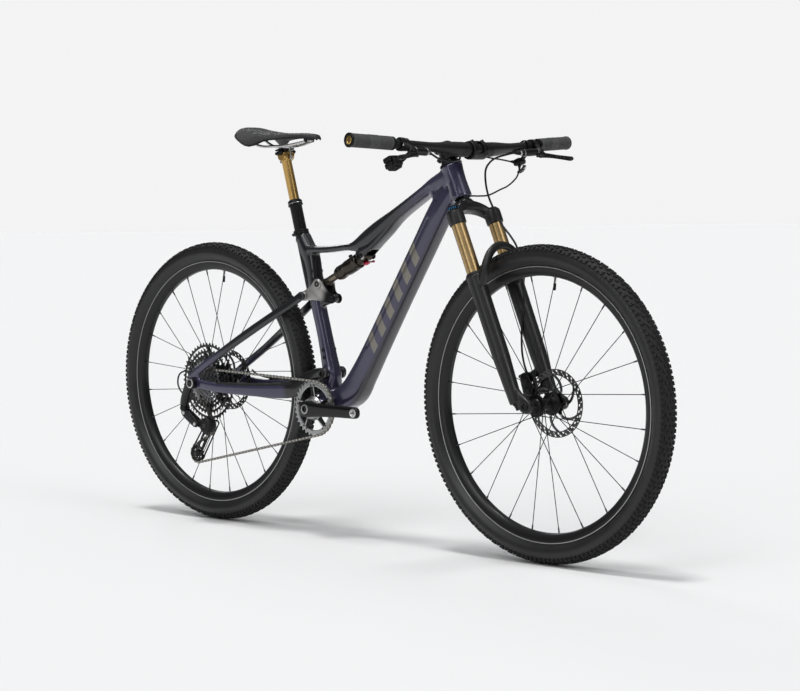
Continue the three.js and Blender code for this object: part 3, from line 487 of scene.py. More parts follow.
def black_alloy(name="black_alloy", colour=(0.007, 0.007, 0.0075), rough=0.32, edge_wear_and_highlight=0.3):
    """Black anodised aluminium, its edges lightened a little as rubbed metal and a painted edge
    highlight.
    """
    return coating(name, colour, rough, (0.3, 60), (1400, 0.00006, 0.35), edge_wear_and_highlight, (0.07, 0.08, 140),
                   metal=0.3, specular=0.25)


def plastic(name, colour, rough):
    """Fine-grained moulded nylon."""
    return coating(name, colour, rough, (0.2, 90), (2600, 0.00012, 0.5), specular=0.25)


def brushed(name, colour, rough, stretch=(1, 1, 1)):
    """Turned or brushed metal: the scratches run along the short side of the stretch."""
    return coating(name, colour, rough, (0.12, 30), (900, 0.00002, 0.3), vary=(0.06, 0.08, 500),
                   stretch=stretch, metal=1.0)


def anodised(name, colour, rough):
    """A smooth anodised coat on a turned tube."""
    return coating(name, colour, rough, (0.06, 12), (300, 0.000004, 0.2), vary=(0.02, 0.03, 40),
                   metal=1.0)


def tread_rubber():
    """Matt tyre rubber with mould grain and pale dust in places."""
    s = Surface("tread_rubber", (0.011, 0.011, 0.011), 0.62, specular=0.25)
    s.mix((0.022, 0.022, 0.0215), s.math("MULTIPLY", s.step(s.noise(14, 5), 0.45, 0.75), 0.4))
    s.bump(s.noise(700, 4), 0.0003, 0.5)
    return s.done()


def casing_rubber():
    """The tyre's smooth side, where the casing threads just show."""
    s = Surface("casing_rubber", (0.012, 0.012, 0.012), 0.38, specular=0.4)
    s.mix((0.009, 0.009, 0.009), s.step(s.noise(30, 5), 0.4, 0.7))
    threads = s.math("MULTIPLY", s.wave(420, "DIAGONAL"), s.wave(420, "X"))
    s.bump(threads, 0.00015, 0.35)
    s.bump(s.noise(500), 0.0001, 0.3)
    return s.done()


def saddle_leather():
    """Synthetic leather: fine pebbled grain with a dull sheen."""
    s = Surface("saddle_leather", (0.026, 0.026, 0.027), 0.48, specular=0.3)
    s.mottled(0.25, 35)
    pebble = s.voronoi(950, "DISTANCE_TO_EDGE").outputs["Distance"]
    s.bump(s.step(pebble, 0.0, 0.25), 0.00022, 0.5)
    s.bump(s.noise(3000, 3), 0.0001, 0.4)
    s.rough_between(0.42, 0.58, 120)
    return s.done()


FRAME_PAINT = striped_frame_paint()
CHAINSTAY_PAINT = stay_paint("chainstay_paint", None)
SEATSTAY_PAINT = stay_paint("seatstay_paint", -0.46)
CARBON = carbon()
BLACK = black_alloy()
DARK_STEEL = brushed("dark_steel", (0.09, 0.09, 0.095), 0.34)
GLOSS = coating("gloss_black", (0.004, 0.004, 0.0045), 0.2, (0.25, 20), (240, 0.00006, 0.25),
                coat=0.25, coat_rough=0.05, specular=0.2)
SATIN = coating("satin_black", (0.006, 0.006, 0.0062), 0.36, (0.25, 30), (1800, 0.00005, 0.4),
                vary=(0.03, 0.09, 90), specular=0.4, coat=0.12, coat_rough=0.2)
PLASTIC = plastic("moulded_plastic", (0.008, 0.008, 0.0085), 0.5)
GUARD = plastic("guard_rubber", (0.011, 0.011, 0.0115), 0.6)
GOLD = anodised("gold_anodised", (0.50, 0.32, 0.11), 0.25)
STANCHION_GOLD = anodised("stanchion_gold", (0.46, 0.32, 0.15), 0.29)
STEEL = brushed("bright_steel", (0.62, 0.62, 0.61), 0.28)
CHAIN_STEEL = brushed("chain_steel", (0.22, 0.21, 0.185), 0.30)
COG_STEEL = brushed("cog_steel", (0.30, 0.30, 0.31), 0.33)
SILVER = brushed("silver_alloy", (0.40, 0.40, 0.40), 0.36)


def link_alloy():
    """The link's silver, with painted shade darkening it to near black towards its front pivot."""
    s = Surface("link_alloy", (0.40, 0.39, 0.38), 0.34, metal=0.9)
    # Painted shade: the front of the link, towards the frame's pivot, goes to near black.
    s.mix((0.012, 0.012, 0.013), s.step(s.along((1, 0, -0.35), -0.352), -0.012, 0.012))
    s.rough_between(0.28, 0.44, 500)
    s.bump(s.noise(900, 2), 0.00004, 0.5)
    return s.done()


LINK_ALLOY = link_alloy()
SHOCK_COAT = brushed("shock_coat", (0.20, 0.17, 0.135), 0.28, (1, 0.06, 1))
SHOCK_CAN = brushed("shock_can_coat", (0.06, 0.052, 0.043), 0.24)
RED = brushed("red_anodised", (0.42, 0.02, 0.05), 0.30)
BLUE = brushed("blue_anodised", (0.03, 0.22, 0.45), 0.30)
TREAD = tread_rubber()
CASING = casing_rubber()
GRIP = coating("grip_rubber", (0.082, 0.082, 0.082), 0.65, (0.3, 70), (1500, 0.0002, 0.5), detail=3,
               specular=0.25)
HOSE = coating("hose_jacket", WEAVE_BLACK, 0.42, (0.2, 200), (2000, 0.00008, 0.4), specular=0.3)
LEATHER = saddle_leather()


# ------------------------------------------------------------------ shape tools
def catmull(points, steps):
    """A smooth list through the points, which are lists of equal length."""
    result = []
    last = len(points) - 1
    for i in range(last):
        p0 = points[max(i - 1, 0)]
        p1, p2 = points[i], points[i + 1]
        p3 = points[min(i + 2, last)]
        for k in range(steps):
            t = k / steps
            result.append([
                0.5 * (2 * b + (c - a) * t + (2 * a - 5 * b + 4 * c - d) * t * t
                       + (3 * b - a - 3 * c + d) * t ** 3)
                for a, b, c, d in zip(p0, p1, p2, p3)
            ])
    result.append(list(points[last]))
    return result


def ellipse_ring(count, power=2.0, turn=0.5):
    """Unit points round a superellipse, the first just past the first axis."""
    ring = []
    for k in range(count):
        angle = (k + turn) / count * math.tau
        c, s = math.cos(angle), math.sin(angle)
        ring.append((math.copysign(abs(c) ** (2 / power), c), math.copysign(abs(s) ** (2 / power), s)))
    return ring


def shift(x=0.0, y=0.0, z=0.0):
    """A move in millimetres."""
    return Matrix.Translation((x, y, z))


def polar(radius, angle):
    return (radius * math.cos(angle), radius * math.sin(angle))


def circle(radius, count):
    return [polar(radius, k / count * math.tau) for k in range(count)]


def ease(value):
    """0 below 0, 1 above 1 and smooth between them."""
    t = min(max(value, 0), 1)
    return t * t * (3 - 2 * t)


def on_side(stations, side):
    """Stations of a right-hand stay, put on the given side."""
    return [(x, y * -side, z, depth, width) for x, y, z, depth, width in stations]


def arc_edge(inner, outer, steps, angle):
    """Points from one radius to another. angle gives a point's angle from its share of the way."""
    return [polar(inner + (outer - inner) * (i / steps), angle(i / steps)) for i in range(steps + 1)]


SOCKET_SHARE = 0.55
ROUNDS_AFTER_CUTS = 5


class Shape:
    """Collects the faces of one piece, in millimetres, with a material number for each."""

    def __init__(self):
        self.points = []
        self.faces = []
        self.numbers = []

    def add(self, points, faces, number=0, at=None):
        start = len(self.points)
        self.points += [at @ Vector(p) if at else Vector(p) for p in points]
        self.faces += [[start + i for i in face] for face in faces]
        self.numbers += [number] * len(faces)
        return self

    def skin(self, rings, number=0, at=None, closed=False):
        """A skin over rings of equal length. It joins the last ring to the first, or caps both ends."""
        size = len(rings[0])
        points = [p for ring in rings for p in ring]
        faces = []
        count = len(rings)
        for i in range(count if closed else count - 1):
            a, b = i * size, ((i + 1) % count) * size
            for k in range(size):
                n = (k + 1) % size
                faces.append([a + k, a + n, b + n, b + k])
        if not closed:
            faces.append(list(range(size))[::-1])
            faces.append([(count - 1) * size + k for k in range(size)])
        return self.add(points, faces, number, at)

    def lathe(self, profile, segments=32, number=0, at=None, axis="Y"):
        """A profile of (radius, height) points turned about an axis. It stays open if it ends there."""
        rings = []
        for r, h in profile:
            ring = []
            for k in range(segments):
                a = k / segments * math.tau
                u, v = max(r, 0.01) * math.cos(a), max(r, 0.01) * math.sin(a)
                ring.append({"X": (h, u, v), "Y": (v, h, u), "Z": (u, v, h)}[axis])
            rings.append(ring)
        return self.skin(rings, number, at, closed=profile[-1][0] > 0)

    def disc(self, radius, h0, h1, segments=24, number=0, at=None, axis="Y", edge=0.6):
        """A round boss between two heights with broken edges."""
        e = min(edge, abs(h1 - h0) / 3, radius / 3)
        lo, hi = sorted((h0, h1))
        outer = [(radius - e, lo), (radius, lo + e), (radius, hi - e), (radius - e, hi)]
        return self.lathe([(0, lo)] + outer + [(0, hi)], segments, number, at, axis)

    def tube(self, points, radius, sides=12, number=0, at=None, smooth=0):
        """A round tube along points. radius is a number or a list with one for each point."""
        if smooth:
            radii = radius if isinstance(radius, list) else [radius] * len(points)
            dense = catmull([[*p, r] for p, r in zip(points, radii)], smooth)
            points = [p[:3] for p in dense]
            radius = [p[3] for p in dense]
        points = [Vector(p) for p in points]
        radii = radius if isinstance(radius, list) else [radius] * len(points)
        count = len(points)
        rings = []
        side = None
        for i, p in enumerate(points):
            before, after = points[max(i - 1, 0)], points[min(i + 1, count - 1)]
            ahead = (after - before).normalized()
            if side is None:
                side = ahead.orthogonal().normalized()
            side = (side - ahead * side.dot(ahead)).normalized()
            other = ahead.cross(side)
            rings.append([
                p + (side * math.cos(k / sides * math.tau) + other * math.sin(k / sides * math.tau))
                * radii[i]
                for k in range(sides)
            ])
        return self.skin(rings, number, at)

    def loft(self, stations, sides=24, power=2.6, number=0, at=None, smooth=5):
        """A tube through stations (x, y, z, half depth in the X-Z plane, half width along Y)."""
        dense = catmull(stations, smooth) if smooth else stations
        unit = ellipse_ring(sides, power)
        rings = []
        last = len(dense) - 1
        for i, (x, y, z, depth, width) in enumerate(dense):
            before, after = dense[max(i - 1, 0)], dense[min(i + 1, last)]
            ahead = Vector((after[0] - before[0], 0, after[2] - before[2])).normalized()
            rings.append([(x - ahead.z * s * depth, y + c * width, z + ahead.x * s * depth) for c,
                          s in unit])
        return self.skin(rings, number, at)

    def prism(self, outline, y0, y1, number=0, at=None, inset=0.0):
        """An outline of (x, z) points extruded along Y. inset pulls both faces' edges in."""
        cx = sum(p[0] for p in outline) / len(outline)
        cz = sum(p[1] for p in outline) / len(outline)

        def ring(y, pull):
            result = []
            for x, z in outline:
                away = Vector((x - cx, z - cz))
                away = away * (1 - pull / max(away.length, pull + 0.1))
                result.append((cx + away.x, y, cz + away.y))
            return result

        if not inset:
            return self.skin([ring(y0, 0), ring(y1, 0)], number, at)
        lift = math.copysign(inset, y1 - y0)
        rings = [ring(y0, inset), ring(y0 + lift, 0), ring(y1 - lift, 0), ring(y1, inset)]
        return self.skin(rings, number, at)

    def box(self, low, high, number=0, at=None, edge=0.0):
        """A block with broken edges."""
        (x0, y0, z0), (x1, y1, z1) = low, high
        e = edge
        if not e:
            outline = [(x0, z0), (x1, z0), (x1, z1), (x0, z1)]
            return self.prism(outline, y0, y1, number, at)
        outline = [
            (x0 + e, z0), (x1 - e, z0), (x1, z0 + e), (x1, z1 - e), (x1 - e, z1), (x0 + e, z1),
            (x0, z1 - e),
            (x0, z0 + e),
        ]
        return self.prism(outline, y0, y1, number, at, inset=e)

    def studs(self, count, ring, radius, h0, h1, segments=6, number=0, at=None, axis="Y", edge=0.2,
              centre=0.0):
        """Small discs spaced evenly round an axis. centre is the ring's place along X."""
        for k in range(count):
            u, v = polar(ring, k / count * math.tau)
            spot = shift(u + centre, v) if axis == "Z" else shift(u + centre, 0, v)
            self.disc(radius, h0, h1, segments, number, at=at @ spot if at else spot, axis=axis,
                      edge=edge)

    def sweep(self, path, sides, power, hint, broad_to_hint, at):
        """A flat bar along points (x, y, z, half thickness, half breadth), turned towards the hint."""
        dense = catmull(path, 5)
        hint = Vector(hint)
        rings = []
        for i, (x, y, z, thin, broad) in enumerate(dense):
            before, after = dense[max(i - 1, 0)], dense[min(i + 1, len(dense) - 1)]
            ahead = (Vector(after[:3]) - Vector(before[:3])).normalized()
            first = (hint - ahead * ahead.dot(hint)).normalized()
            second = ahead.cross(first)
            out, up = (second, first) if broad_to_hint else (first, second)
            rings.append([Vector((x, y, z)) + out * c * thin + up * q * broad
                          for c, q in ellipse_ring(sides, power)])
        self.skin(rings, at=at)

    def ring_plate(self, outer, inner, y0, y1, number=0, at=None):
        """A flat ring between two outlines of the same number of (x, z) points."""
        rings = [
            [(x, y0, z) for x, z in inner], [(x, y0, z) for x, z in outer],
            [(x, y1, z) for x, z in outer], [(x, y1, z) for x, z in inner],
        ]
        return self.skin(rings, number, at, closed=True)

    def bolt(self, place, radius, height, number=0, at=None, side=-1):
        """A round bolt head along Y with a hexagon socket. side is the way it faces."""
        x, y, z = place
        lift = shift(x, y, z) @ Matrix.Diagonal((1, side, 1, 1))
        lift = at @ lift if at else lift
        s = radius * SOCKET_SHARE
        profile = [(0, 0), (radius, 0), (radius, height * 0.75), (radius * 0.88, height),
                   (s * 1.02, height)]
        self.lathe(profile + [(s, height * 0.35), (0, height * 0.35)], 18, number, lift)


def mesh_of(name, shape, place, merge):
    """A shape's mesh with its normals outwards. place takes its millimetres into the row frame."""
    mesh = bpy.data.meshes.new(name)
    mesh.from_pydata([place @ p for p in shape.points], [], shape.faces)
    mesh.polygons.foreach_set("material_index", shape.numbers)
    work = bmesh.new()
    work.from_mesh(mesh)
    if merge:
        bmesh.ops.remove_doubles(work, verts=work.verts, dist=1e-6)
    bmesh.ops.recalc_face_normals(work, faces=work.faces)
    work.to_mesh(mesh)
    work.free()
    return mesh


def shade(piece, angle):
    piece.data.shade_smooth()
    piece.data.set_sharp_from_angle(angle=math.radians(angle))


def build(name, shape, body, materials, place=ROW, replaces=(), bevel=0.0, angle=38):
    """Makes one piece from a shape, and hides the CAD nodes that it replaces."""
    materials = materials if isinstance(materials, (list, tuple)) else [materials]
    piece = bpy.data.objects.new(name, mesh_of(name, shape, place, True))
    for material in materials:
        piece.data.materials.append(material)
    bpy.context.scene.collection.objects.link(piece)
    if body:
        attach(piece, body)
    if replaces:
        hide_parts(*replaces)
    shade(piece, angle)
    if bevel:
        modifier = piece.modifiers.new("edges", "BEVEL")
        modifier.width = bevel * MM
        modifier.segments = 2
        modifier.limit_method = "ANGLE"
        modifier.angle_limit = math.radians(35)
        settle(piece)
        shade(piece, angle)
    return piece


def settle(piece):
    """Applies a piece's modifiers to its mesh."""
    bpy.context.view_layer.update()
    graph = bpy.context.evaluated_depsgraph_get()
    mesh = bpy.data.meshes.new_from_object(piece.evaluated_get(graph))
    piece.modifiers.clear()
    piece.data = mesh


def melt(piece, voxel, rounds):
    """Adds a remesh at one voxel size, and a smoothing after it."""
    remesh = piece.modifiers.new("melt", "REMESH")
    remesh.mode = "VOXEL"
    remesh.voxel_size = voxel * MM
    smooth = piece.modifiers.new("smooth", "SMOOTH")
    smooth.iterations = rounds
    smooth.factor = 0.5


def fused(name, shape, body, material, place=ROW, replaces=(), voxel=2.5, rounds=6, cuts=()):
    """Melts overlapping solids into one skin with rounded corners, and takes the cuts away in turn."""
    piece = build(name, shape, body, material, place, replaces)
    melt(piece, voxel, rounds)
    if cuts:
        settle(piece)
        for shape_to_cut in cuts:
            cutter = bpy.data.objects.new("cutter", mesh_of("cutter", shape_to_cut, place, False))
            bpy.context.scene.collection.objects.link(cutter)
            cut = piece.modifiers.new("cut", "BOOLEAN")
            cut.operation = "DIFFERENCE"
            cut.solver = "EXACT"
            cut.object = cutter
            settle(piece)
            bpy.data.objects.remove(cutter)
        melt(piece, voxel, ROUNDS_AFTER_CUTS)
    settle(piece)
    if not piece.data.materials:
        piece.data.materials.append(material)
    shade(piece, 60)
    return piece


def turned_to(place, direction):
    """A matrix that puts a local Y axis along a direction at a place, in millimetres."""
    turn = Vector((0, 1, 0)).rotation_difference(Vector(direction).normalized())
    return Matrix.Translation(Vector(place)) @ turn.to_matrix().to_4x4()


IN_ROW = ROW.inverted()
STEER_MM = IN_ROW @ STEER
SEAT_MM = IN_ROW @ SEAT


# ------------------------------------------------------------------ front triangle
def front_triangle():
    s = Shape()
    s.loft([
        (290, 0, 868, 26, 22), (252, 0, 815, 28, 27), (191, 0, 723, 28, 27), (109, 0, 600, 28, 27),
        (27, 0, 475, 29, 28), (-16, 0, 412, 31, 30), (-58, 0, 362, 33, 34), (-143, 0, 326, 22, 40),
    ], power=3.4)
    s.loft([
        (286, 0, 898, 22, 24), (240, 0, 881, 17, 22), (201, 0, 859, 15, 22), (116, 0, 811, 16, 23),
        (62, 0, 776, 24, 24), (12, 0, 745, 26, 24), (-32, 0, 731, 13, 23), (-60, 0, 729, 9, 22),
        (-131, 0, 723, 9, 20), (-195, 0, 722, 9, 20),
    ], power=3.6)
    s.loft([(36, 0, 744, 14, 24), (-2, 0, 716, 15, 24), (-19, 0, 706, 12.5, 23)], power=3.0)
    s.loft([
        (-231, 0, 757, 19, 19), (-214, 0, 726, 22, 19), (-199, 0, 700, 24, 18.5),
        (-188, 0, 657, 20, 18.5),
        (-180, 0, 610, 19.2, 18.8), (-172, 0, 569, 18, 18), (-161, 0, 531, 17.6, 18),
        (-151, 0, 494, 17.8, 18.4), (-139, 0, 446, 19.5, 20), (-131, 0, 404, 23, 22),
        (-138, 0, 340, 26, 32),
    ], power=2.7)
    s.loft([(300, 0, 850, 14, 20), (262, 0, 846, 20, 20), (236, 0, 866, 10, 20)], power=2.6)
    s.loft([(-172, 0, 590, 16, 12), (-140, 0, 596, 13, 8.6), (ROCKER_PIVOT.x, 0, ROCKER_PIVOT.z, 11, 8)])
    s.disc(11, -8.6, 8.6, at=shift(ROCKER_PIVOT.x, 0, ROCKER_PIVOT.z))
    s.disc(24.5, -46, 46, at=shift(BB.x, 0, BB.z), segments=40)
    s.disc(16, -23, 23, at=shift(MAIN_PIVOT.x, 0, MAIN_PIVOT.z), segments=32)
    s.lathe([(0, 534), (25.4, 534), (26, 537), (25, 552), (24, 578), (25, 602), (27, 618), (26.6, 622),
             (0, 622)],
            40, at=STEER_MM, axis="Z")
    cuts = Shape()
    cuts.disc(18, 500, 545, 32, at=STEER_MM, axis="Z")
    cuts.disc(22, 612, 660, 32, at=STEER_MM, axis="Z")
    cuts.disc(16.1, -138, 60, 32, at=SEAT_MM, axis="Z")
    cuts.disc(20.6, -60, -36, 32, at=shift(BB.x, 0, BB.z))
    cuts.disc(20.6, 36, 60, 32, at=shift(BB.x, 0, BB.z))
    cuts.prism([(32, 723), (32, 688), (-60, 660), (-60, 716), (-8, 727)], -16, 16)
    for side in (-1, 1):
        # The recessed face under the top tube's crease.
        cuts.loft([
            (236, side * 27.5, 874, 5, 8), (200, side * 27, 853, 6.5, 8), (118, side * 27.5, 803, 7, 8),
            (70, side * 28, 768, 9, 8), (24, side * 28.5, 738, 9, 8), (-6, side * 28.5, 728, 4, 8),
        ], 12)
        # The scoop along the down tube's side, just ahead of its rear edge.
        cuts.loft([
            (232, side * 31.5, 801, 4, 7), (176, side * 31.5, 717, 5, 7.5),
            (94, side * 31.5, 594, 5, 7.5),
            (20, side * 32.5, 483, 4, 7),
        ], 12)
    fused("front_triangle_skin", s, "frame", FRAME_PAINT, replaces=("front_triangle",),
          voxel=2.4, rounds=7, cuts=[cuts])


front_triangle()


def frame_details():
    s = Shape()
    # The heads of the shock's front bolt and the cable ports.
    for side in (-1, 1):
        s.bolt((SHOCK_FRONT.x, side * 23.6, SHOCK_FRONT.z), 8.5, 3.2, side=side)
        for z, x in ((470, -141), (452, -137)):
            s.lathe([(0, 0), (3.6, 0), (4.4, 0.7), (3.2, 1.4), (2.2, 0.7), (0, 0.7)], 16,
                    at=shift(x, side * 21.3, z) @ Matrix.Diagonal((1, side, 1.25, 1)))
        # Two ports on the upper seat tube and one behind the head tube.
        for z, x in ((668, -181), (648, -178)):
            s.lathe([(0, 0), (3.4, 0), (4.0, 0.6), (3.0, 1.3), (2.0, 0.6), (0, 0.6)], 16,
                    at=shift(x, side * 17.8, z) @ Matrix.Diagonal((1, side, 1.2, 1)))
        port = shift(258, side * 22.2, 838) @ Matrix.Rotation(-0.98, 4, "Y")
        s.loft([(-9, 0, 0, 2.6, 1.6), (-4, side * 0.9, 0, 4.6, 2.2), (4, side * 0.9, 0, 4.6, 2.2),
                (10, 0, 0, 2.4, 1.6)], 16, 2.2, at=port)
    build("frame_ports", s, "frame", BLACK)
    # Down tube guard: a thin ribbed skin on the lower edge by the bottom bracket.
    g = Shape()
    line = catmull([(-22, 375.5), (-52, 341), (-80, 316), (-112, 304)], 8)
    rings = []
    for i, (x, z) in enumerate(line):
        rib = 0.7 if i % 3 == 0 else 0.0
        taper = 1 - 0.5 * abs(i / (len(line) - 1) * 2 - 1) ** 3
        rings.append([(x + 0.83 * (2.0 + rib) * (1 - t * t) - 0.5, 24 * t * taper,
                       z - 0.55 * (2.0 + rib) * (1 - t * t))
                      for t in (-1, -0.8, -0.5, 0, 0.5, 0.8, 1)]
                     + [(x - 5, 24 * t * taper, z + 4) for t in (1, 0, -1)])
    g.skin(rings)
    build("down_tube_guard", g, "frame", GUARD)


frame_details()


def bottom_bracket_and_seat():
    s = Shape()
    here = shift(BB.x, 0, BB.z)
    for side in (-1, 1):
        flip = here @ Matrix.Diagonal((1, side, 1, 1))
        s.lathe([(15.4, 30), (20.3, 30), (20.3, 44.2), (22.0, 44.8), (22.0, 48.6), (20.8, 49.6),
                 (15.6, 49.6)], 48,
                at=flip)
        s.studs(16, 22.0, 1.1, 45.2, 48.4, at=flip)
    build("bottom_bracket_cups", s, "frame", BLACK, replaces=("bottom_bracket",))

    c = Shape()
    c.lathe([(16.5, 22), (19.2, 22), (20, 22.8), (20, 26.4), (18.9, 27.2), (18.9, 29), (20, 29.8),
             (20, 33.2),
             (19.2, 34), (16.5, 34)], 48, at=SEAT_MM, axis="Z")
    c.box((-27, -8, 24.4), (-18, -1.2, 32), at=SEAT_MM, edge=1.6)
    c.box((-27, 1.2, 24.4), (-18, 8, 32), at=SEAT_MM, edge=1.6)
    c.bolt((-23.4, -7.8, 28.2), 3.2, 1.5, at=SEAT_MM)
    build("seat_collar", c, "frame", BLACK, replaces=("seat_clamp",), bevel=0.3)

    d = Shape()
    d.lathe([(13.2, -132), (15.8, -132), (15.8, 96), (16.6, 97.5), (18.6, 98.5), (19.3, 100),
             (19.3, 101.5),
             (18.4, 102.3), (18.4, 109.5), (17.6, 111.6), (14.6, 113), (13.2, 113)], 48, at=SEAT_MM,
            axis="Z")
    d.lathe([(18.3, 103.6), (18.9, 104), (18.9, 105), (18.3, 105.4)], 48, 1, at=SEAT_MM, axis="Z")
    # The seal lip.
    d.lathe([(13.0, 112), (16.4, 112.4), (14.6, 114.2), (13.0, 114.0)], 40, 2, at=SEAT_MM, axis="Z")
    build("dropper_outer", d, "frame", [BLACK, STEEL, GUARD],
          replaces=("dropper_outer_tube",))

    h = Shape()
    h.lathe([(14.9, 613), (21.4, 613), (21.4, 622.4), (26.6, 622.4), (27.2, 623.4), (26.4, 624.6),
             (22.6, 627.2),
             (21.4, 630.2), (20.4, 631.4), (14.9, 631.4)], 56, at=STEER_MM, axis="Z")
    h.lathe([(26.0, 622.0), (27.6, 622.2), (27.6, 622.8), (26.0, 623.0)], 56, 1, at=STEER_MM, axis="Z")
    build("headset_cover", h, "frame", [BLACK, DARK_STEEL], replaces=("headset_upper",))


bottom_bracket_and_seat()


# ------------------------------------------------------------------ saddle and dropper
SADDLE_STATIONS = [
    (-166, 6, 1000), (-169, 12, 1002), (-182, 17, 1004.6), (-215, 19.5, 1008), (-255, 23, 1009.4),
    (-295, 34, 1010.6), (-335, 53, 1013.6), (-375, 67.5, 1018.6), (-402, 70, 1023.6), (-414, 60, 1025.4),
    (-420, 44, 1026),
]


def droop_of(x, half):
    """How far the saddle's edge hangs below its middle: the wings hang most, and their tips rise."""
    return (0.25 * half + 0.77 * max(half - 46, 0)) * (1.15 - 0.75 * ease((-350 - x) / 70))


def saddle_rings(bottom, top, inset, edge, channel):
    """Closed rings across the saddle: a crowned top whose sides turn down, and a flat underside."""
    rings = []
    across = [-1.0, -0.985, -0.93, -0.82, -0.66, -0.45, -0.22, -0.08, 0, 0.08, 0.22, 0.45, 0.66, 0.82,
              0.93, 0.985, 1.0]
    count = len(SADDLE_STATIONS)
    for i, (x, half, z) in enumerate(catmull(SADDLE_STATIONS, 3)):
        width = max(half - inset, 3)
        droop = droop_of(x, half)
        end = min(i, 3 * (count - 1) - i)
        thick = top * min(1, 0.55 + 0.15 * end) * (0.64 + 0.36 * min(half / 60, 1))
        groove = channel * math.exp(-((x + 300) / 62) ** 2)
        upper = []
        for t in across:
            shoulder = edge * (1 - max(0.0, 1 - abs(t) ** 6) ** 0.5)
            dip = groove * math.exp(-(t * width / 7.5) ** 2)
            upper.append((x, t * width, z + thick - shoulder - droop * abs(t) ** 3 - dip))
        lower = [(x, t * (width - 1.4), z + bottom - droop * abs(t) ** 3) for t in reversed(across)]
        rings.append(upper + lower)
    return rings


def saddle():
    pad = Shape().skin(saddle_rings(3.6, 12.4, 0.4, 8.5, 3.2))
    piece = build("saddle_cushion", pad, "dropper", LEATHER, replaces=("saddle_pad",),
                  angle=75)
    subdivide = piece.modifiers.new("cushion", "SUBSURF")
    subdivide.levels = 2
    subdivide.render_levels = 2
    settle(piece)
    # The padding gives under the cover: low humps over the sit bones and stretched hollows beside them.
    for vertex in piece.data.vertices:
        p = vertex.co / MM
        top = max(0.0, (p.z - 1016) / 10)
        hump = math.exp(-((p.x + 378) / 30) ** 2) * math.exp(-((abs(p.y) - 36) / 20) ** 2)
        waist = math.exp(-((p.x + 300) / 30) ** 2) * math.exp(-((abs(p.y) - 26) / 12) ** 2)
        vertex.co.z += min(top, 1) * (1.3 * hump - 0.9 * waist) * MM
    piece.data.shade_smooth()

    # Piping along each edge, where the cover meets the shell.
    seam = Shape()
    dense = catmull(SADDLE_STATIONS, 3)
    for side in (-1, 1):
        points = [(x, side * (half - 0.6), z + 4.0 - droop_of(x, half)) for x, half, z in dense[3:-2]]
        seam.tube(points, 1.0, 8)
    build("saddle_piping", seam, "dropper", GUARD)

    shell = Shape().skin(saddle_rings(0.6, 4.0, 2.6, 1.0, 0))
    build("saddle_base", shell, "dropper", PLASTIC, replaces=("saddle_shell",), angle=50)
    ribs = Shape()
    for x0, x1, half in ((-214, -192, 9), (-400, -388, 40)):
        ribs.box((x0, -half, 998 if x0 > -300 else 1009), (x1, half, 1009 if x0 > -300 else 1018),
                 edge=2.0)
    for side in (-1, 1):
        ribs.disc(6.5, -9, 9, 20, at=shift(-403, side * 33, 1007), edge=2)
        ribs.disc(5.6, -7, 7, 20, at=shift(-201, side * 8, 998), edge=2)
    build("saddle_rail_sockets", ribs, "dropper", PLASTIC, bevel=0.5)

    rails = Shape()
    for side in (-1, 1):
        rails.tube([
            (-404, side * 34, 1006), (-385, side * 30, 996), (-350, side * 22, 986),
            (-307, side * 22, 985.6),
            (-265, side * 22, 986), (-215, side * 14, 993), (-196, side * 7, 998),
        ], 3.5, 16, smooth=8)
    rails.tube([(-199, -10, 997.5), (-199, 10, 997.5)], 3.6, 14)
    build("saddle_rail_pair", rails, "dropper", STEEL, replaces=("saddle_rails",))


saddle()


def dropper():
    s = Shape()
    top = 231
    s.lathe([(0, -22), (12.7, -22), (12.7, 218), (13.4, 219.4), (13.4, 221), (0, 221)], 48, at=SEAT_MM,
            axis="Z")
    # The forged head: a neck that flares into a cradle across the post.
    s.loft([(0, 0, 215.5, 12, 12), (0.5, 0, 220, 12.6, 13), (1.5, 0, 225, 13, 15),
            (2, 0, 230, 13.4, 17.6)], 28, 2.4,
           at=SEAT_MM)
    s.disc(13.4, -18, 18, 40, at=SEAT_MM @ shift(2, 0, top), edge=1.2)
    build("dropper_inner", s, "dropper", GOLD, replaces=("dropper_inner_tube",))
    c = Shape()
    # Lower cradles and the clamp bar above them.
    for side in (-1, 1):
        c.loft([(-10, side * 21, top + 9, 3.6, 4.4), (-5, side * 21, top + 7.4, 5, 4.8),
                (2, side * 21, top + 6.6, 5.6, 5), (9, side * 21, top + 7.4, 5, 4.8),
                (14, side * 21, top + 9, 3.6, 4.4)], 20, 3.0, at=SEAT_MM)
    c.box((-9, -25.6, top + 14), (13, 25.6, top + 18), at=SEAT_MM, edge=1.8)
    build("rail_clamp", c, "dropper", BLACK, bevel=0.5)
    b = Shape()
    for x in (-17, 20):
        b.tube([(x, 0, top - 12), (x, 0, top + 14)], 2.4, 14, at=SEAT_MM)
        b.disc(4.4, top - 14, top - 8, 16, at=SEAT_MM @ shift(x), axis="Z", edge=0.8)
        b.disc(4.4, top + 13, top + 15.5, 18, at=SEAT_MM @ shift(x), axis="Z", edge=0.6)
        b.studs(12, 4.4, 0.7, top - 13.4, top - 8.6, at=SEAT_MM, axis="Z", centre=x)
    build("rail_clamp_screws", b, "dropper", SILVER)


dropper()


# ------------------------------------------------------------------ fork
def leg_frame(side):
    """A fork leg's millimetres along its own axis. side is 1 on the left and -1 on the right."""
    return STEER_MM @ shift(STANCHION_X, side * STANCHION_Y)


